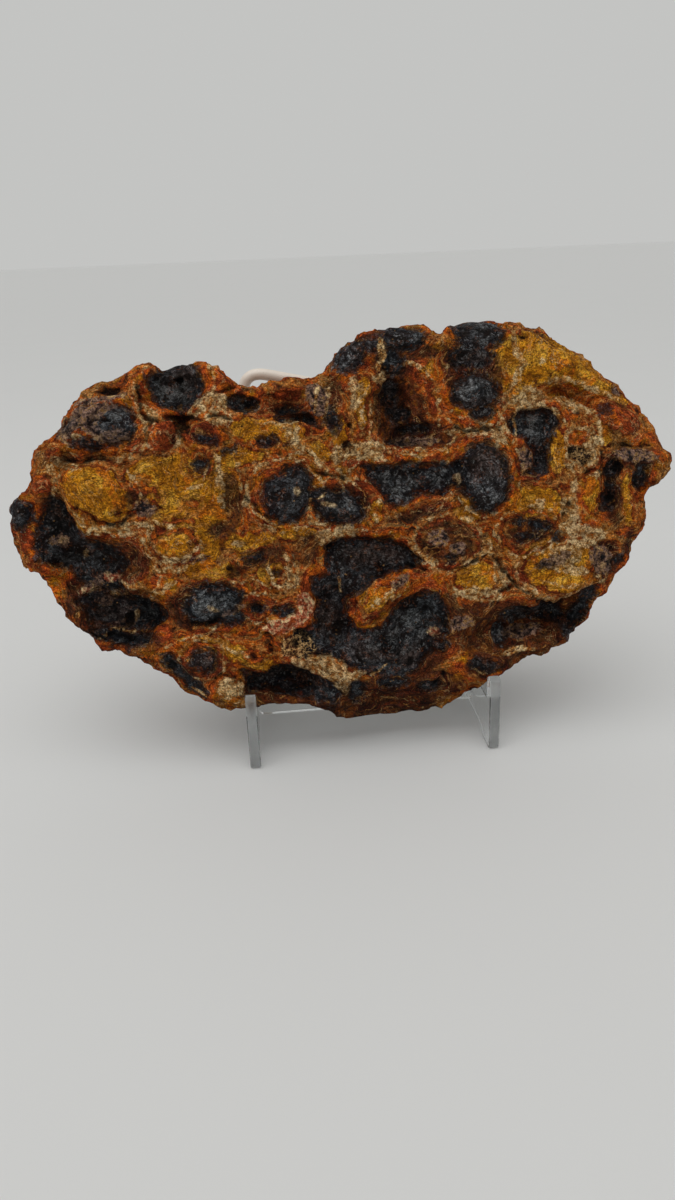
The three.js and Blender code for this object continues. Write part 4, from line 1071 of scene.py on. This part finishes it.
class OBJECT_OT_hematite_stone(bpy.types.Operator):
    """Shape the slab of hematite from its solid, and give it its patches and bands"""

    bl_idname = "object.hematite_stone"
    bl_label = "Hematite stone"

    def execute(self, context):
        look = context.scene.hematite_stone
        node = frame["nodes"]["specimen"]
        deselect_all()
        stone = node.copy()
        stone.data = node.data.copy()
        stone.name = stone.data.name = "hematite_slab"
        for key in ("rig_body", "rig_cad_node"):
            if key in stone:
                del stone[key]
        stone.parent = None
        context.scene.collection.objects.link(stone)
        merge_doubles(stone)
        if look.levels:
            apply_modifier(stone, "SUBSURF", levels=look.levels, render_levels=look.levels)
        places = vertex_places(stone.data)
        patches = stone_patches(places)
        normals = vertex_normals(stone.data)
        out = look.relief * stone_relief(places, normals, patches)
        set_vertex_places(stone.data, keep_clear(places + normals * (out * MM)[:, None]))
        for kind, values in patches.items():
            set_attribute(stone.data, kind, values)
        # how far each point lies below its surroundings, near and far, for the painted shade in hollows and
        # painted light on lumps
        set_attribute(stone.data, "hollow", hollowness(stone.data, 8))
        set_attribute(stone.data, "deep", hollowness(stone.data, 70))
        # how far each point faces down, for the painted shade on the undersides
        set_attribute(stone.data, "underside", smooth(0.2, 0.8, -vertex_normals(stone.data)[:, 2]))
        bpy.ops.object.shade_smooth()
        paint(stone, stone_material(look))
        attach(stone, "root")
        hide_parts("specimen")
        return {"FINISHED"}


# ---------- the clear easel ----------


class AcrylicEasel(bpy.types.PropertyGroup):
    tint: FloatVectorProperty(name="Tint", description="Tint of the clear sheet",
                              default=(0.93, 0.95, 0.95), subtype="COLOR", size=3)
    ior: FloatProperty(name="IOR", description="Index of refraction of acrylic",
                       default=1.49, min=1.3, max=1.7)
    cut_roughness: FloatProperty(name="Cut edge roughness", description="Frosting of the cut edges",
                                 default=0.6, min=0.0, max=1.0, subtype="FACTOR")


def acrylic_material(look, name, sheet_faces):
    """Clear sheet whose large faces point along sheet_faces, with its cut edges a little frosted."""
    material, tree, shader = new_material(
        name, Base_Color=rgba(look.tint), IOR=look.ior, Transmission_Weight=1.0)
    marks = handling_marks(tree, 9.0, 0.6)
    facing = tree.nodes.new("ShaderNodeNewGeometry").outputs["True Normal"]
    along = vector_calc(tree, "DOT_PRODUCT", facing, sheet_faces, "Value")
    cut = step_up(tree, calc(tree, "ABSOLUTE", along), 0.8, 0.4)
    rough = calc(tree, "ADD", calc(tree, "MULTIPLY", marks["Smears"], 0.06), 0.02)
    rough = calc(tree, "ADD", rough, calc(tree, "MULTIPLY", cut, look.cut_roughness))
    rough = calc(tree, "ADD", rough, calc(tree, "MULTIPLY", marks["Dust"], 0.2))
    tree.links.new(rough, shader.inputs["Roughness"])
    bump_from(tree, shader, marks["Height"], 0.15, 0.2)
    return material


class OBJECT_OT_acrylic_easel(bpy.types.Operator):
    """Give the easel's two side plates and its cross panel their clear acrylic"""

    bl_idname = "object.acrylic_easel"
    bl_label = "Acrylic easel"

    def execute(self, context):
        look = context.scene.acrylic_easel
        side = acrylic_material(look, "Clear acrylic", (1.0, 0.0, 0.0))
        cross = acrylic_material(look, "Clear cross panel", (0.0, math.cos(LEAN), -math.sin(LEAN)))
        for name in ("easel_left_plate", "easel_right_plate"):
            paint(frame["nodes"][name], side)
        paint(frame["nodes"]["easel_back_panel"], cross)
        return {"FINISHED"}


# ---------- the wire rest ----------

CURVE_STEPS, STRAIGHT_STEPS = 12, 6
WIRE_CORNERS = [
    (-WIRE_HALF_WIDTH, WIRE_FOOT_Y, WIRE_FOOT_Z), (-WIRE_HALF_WIDTH, WIRE_Y, WIRE_FOOT_Z),
    (-WIRE_HALF_WIDTH, WIRE_Y, WIRE_CORNER_Z), (0, WIRE_Y, WIRE_DIP_Z),
    (WIRE_HALF_WIDTH, WIRE_Y, WIRE_CORNER_Z), (WIRE_HALF_WIDTH, WIRE_Y, WIRE_FOOT_Z),
    (WIRE_HALF_WIDTH, WIRE_FOOT_Y, WIRE_FOOT_Z),
]


class WireRest(bpy.types.PropertyGroup):
    thickness: FloatProperty(name="Thickness", description="Diameter of the coated wire",
                             default=4.5 * MM, min=2 * MM, max=5 * MM, unit="LENGTH", subtype="DISTANCE")
    bend: FloatProperty(name="Bend", description="Reach of the curve at each corner",
                        default=10 * MM, min=5 * MM, max=15 * MM, unit="LENGTH", subtype="DISTANCE")
    coating: FloatVectorProperty(name="Coating", description="Cream colour of the coating",
                                 default=srgb(232, 220, 206), subtype="COLOR", size=3)


def wire_route(bend):
    """The closed middle line of the wire: straight runs joined by a curve at each corner."""
    corners = [Vector(row_point(*corner)) for corner in WIRE_CORNERS]
    route = []
    for i, corner in enumerate(corners):
        before, after = corners[i - 1], corners[(i + 1) % len(corners)]
        start = corner + (before - corner).normalized() * bend
        end = corner + (after - corner).normalized() * bend
        if route:
            last = route[-1]
            route += [last.lerp(start, k / STRAIGHT_STEPS) for k in range(1, STRAIGHT_STEPS)]
        for k in range(CURVE_STEPS + 1):
            t = k / CURVE_STEPS
            route.append(start * (1 - t) ** 2 + corner * 2 * t * (1 - t) + end * t * t)
    return route


def wire_material(look):
    material, tree, shader = new_material(
        "Coated wire", Coat_Weight=0.35, Coat_Roughness=0.15, Specular_IOR_Level=0.5)
    marks = handling_marks(tree, 6.0, 0.7)
    worn = tuple(c * 0.86 for c in look.coating)
    dust = srgb(170, 156, 140)
    colour = mix_colour(tree, calc(tree, "MULTIPLY", marks["Smears"], 0.5), look.coating, worn)
    colour = mix_colour(tree, calc(tree, "MULTIPLY", marks["Dust"], 0.35), colour, dust)
    tree.links.new(colour, shader.inputs["Base Color"])
    rough = calc(tree, "ADD", calc(tree, "MULTIPLY", marks["Smears"], 0.15), 0.3)
    tree.links.new(rough, shader.inputs["Roughness"])
    bump_from(tree, shader, noise_at(tree, object_place(tree), 2.5, 2), 0.25, 0.3)
    return material


class OBJECT_OT_wire_rest(bpy.types.Operator):
    """Bend the cream coated wire that stands behind the stone"""

    bl_idname = "object.wire_rest"
    bl_label = "Wire rest"

    def execute(self, context):
        look = context.scene.wire_rest
        deselect_all()
        route = wire_route(look.bend)
        bpy.ops.curve.primitive_nurbs_path_add(location=(0, 0, 0))
        wire = context.object
        wire.name = wire.data.name = "coated_wire_rest"
        curve = wire.data
        curve.splines.clear()
        line = curve.splines.new("POLY")
        line.points.add(len(route) - 1)
        for point, place in zip(line.points, route):
            point.co = (*place, 1)
        line.use_cyclic_u = True
        curve.dimensions = "3D"
        curve.twist_mode = "MINIMUM"
        curve.bevel_depth = look.thickness / 2
        curve.bevel_resolution = 6
        make_active(wire)
        bpy.ops.object.convert(target="MESH")
        wire = context.object
        merge_doubles(wire, recalculate=True)
        bpy.ops.object.shade_smooth()
        paint(wire, wire_material(look))
        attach(wire, "root")
        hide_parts("wire_back_rest")
        return {"FINISHED"}


# ---------- the stage ----------


class HematiteStage(bpy.types.PropertyGroup):
    floor_width: FloatProperty(name="Floor width", description="Width of the plain floor",
                               default=60.0, min=2.0, unit="LENGTH", subtype="DISTANCE")
    floor: FloatVectorProperty(name="Floor", description="Pale floor",
                               default=srgb(214, 214, 213), subtype="COLOR", size=3)
    sky: FloatVectorProperty(name="Surroundings", description="Colour of the surroundings",
                             default=(0.98, 0.985, 0.965), subtype="COLOR", size=3)
    sky_strength: FloatProperty(name="Surroundings strength", description="Light from all round",
                                default=0.56, min=0.0)
    sun_strength: FloatProperty(name="Overhead strength", description="Wide soft light from above",
                                default=0.75, min=0.0)
    key_power: FloatProperty(name="Key power", description="Power of the soft light over the stone",
                             default=2.0, min=0.0, unit="POWER")


CAMERA_PLACE = (-0.03263, -0.35994, 0.1826)
CAMERA_AHEAD = (0.0724, 0.9292, -0.3624)
CAMERA_RIGHT = (0.99698, -0.07765, 0.0)
CAMERA_ROLL = math.radians(-2.44)
CAMERA_LENS, CAMERA_SENSOR = 27.0, 36.0
FLOOR_DROP = 0.0002
KEY_PLACE, KEY_TARGET, KEY_SIZE = (-0.2, -0.3, 1.1), (0.0, -0.03, 0.08), 0.9
SUN_TURN = (math.radians(18), math.radians(-12), 0)
SUN_SPREAD = math.radians(70)


def add_floor(look):
    bpy.ops.mesh.primitive_plane_add(size=look.floor_width, location=(0, 0, -FLOOR_DROP))
    floor = bpy.context.object
    floor.name = "floor"
    material, tree, shader = new_material("Pale floor", Roughness=0.75, Specular_IOR_Level=0.3)
    cloud = noise_at(tree, object_place(tree), 120, 2)
    tint = mix_colour(tree, cloud, tuple(c * 0.98 for c in look.floor), look.floor)
    tree.links.new(tint, shader.inputs["Base Color"])
    paint(floor, material)


def add_lights(look):
    """An even sky, a square soft light over the stone and a wide one overhead."""
    scene = bpy.context.scene
    scene.world = scene.world or bpy.data.worlds.new("Studio")
    scene.world.use_nodes = True
    background = scene.world.node_tree.nodes["Background"]
    background.inputs["Color"].default_value = rgba(look.sky)
    background.inputs["Strength"].default_value = look.sky_strength
    aim = (Vector(KEY_TARGET) - Vector(KEY_PLACE)).to_track_quat("-Z", "Y").to_euler()
    bpy.ops.object.light_add(type="AREA", location=KEY_PLACE, rotation=aim)
    key = bpy.context.object
    key.name = "key light"
    key.data.shape = "SQUARE"
    key.data.size = KEY_SIZE
    key.data.energy = look.key_power
    bpy.ops.object.light_add(type="SUN", location=(0, -0.2, 1.5), rotation=SUN_TURN)
    sun = bpy.context.object
    sun.name = "overhead light"
    sun.data.energy = look.sun_strength
    sun.data.angle = SUN_SPREAD


def add_camera():
    bpy.ops.object.camera_add(location=CAMERA_PLACE)
    camera = bpy.context.object
    camera.name = "camera"
    ahead, right = Vector(CAMERA_AHEAD).normalized(), Vector(CAMERA_RIGHT).normalized()
    up = right.cross(ahead)
    c, s = math.cos(CAMERA_ROLL), math.sin(CAMERA_ROLL)
    across, above = right * c + up * s, up * c - right * s
    turn = Matrix((across, above, -ahead)).transposed()
    camera.matrix_world = Matrix.Translation(CAMERA_PLACE) @ turn.to_4x4()
    camera.data.lens = CAMERA_LENS
    camera.data.sensor_width = CAMERA_SENSOR
    camera.data.clip_start = 0.01
    bpy.context.scene.camera = camera


class OBJECT_OT_hematite_stage(bpy.types.Operator):
    """Set the plain pale floor, the soft studio lights and the camera"""

    bl_idname = "object.hematite_stage"
    bl_label = "Stage"

    def execute(self, context):
        look = context.scene.hematite_stage
        deselect_all()
        add_floor(look)
        add_lights(look)
        add_camera()
        context.scene.view_settings.view_transform = "Standard"
        return {"FINISHED"}


class VIEW3D_PT_hematite(bpy.types.Panel):
    bl_idname = "VIEW3D_PT_hematite"
    bl_label = "Hematite"
    bl_space_type = "VIEW_3D"
    bl_region_type = "UI"
    bl_category = "Hematite"

    def draw(self, context):
        for owner, _, operator in PIECES:
            box = self.layout.box()
            box.operator(operator.bl_idname)
            settings = getattr(context.scene, owner)
            for name in settings.bl_rna.properties.keys():
                if name not in {"rna_type", "name"}:
                    box.prop(settings, name)


PIECES = [
    ("hematite_stone", HematiteStone, OBJECT_OT_hematite_stone),
    ("acrylic_easel", AcrylicEasel, OBJECT_OT_acrylic_easel),
    ("wire_rest", WireRest, OBJECT_OT_wire_rest),
    ("hematite_stage", HematiteStage, OBJECT_OT_hematite_stage),
]


def register():
    for name, settings, operator in PIECES:
        bpy.utils.register_class(settings)
        setattr(bpy.types.Scene, name, PointerProperty(type=settings))
        bpy.utils.register_class(operator)
    bpy.utils.register_class(VIEW3D_PT_hematite)


def unregister():
    bpy.utils.unregister_class(VIEW3D_PT_hematite)
    for name, settings, operator in reversed(PIECES):
        bpy.utils.unregister_class(operator)
        delattr(bpy.types.Scene, name)
        bpy.utils.unregister_class(settings)


def main():
    register()
    bpy.ops.object.hematite_stone()
    bpy.ops.object.acrylic_easel()
    bpy.ops.object.wire_rest()
    bpy.ops.object.hematite_stage()


if __name__ == "__main__":
    main()
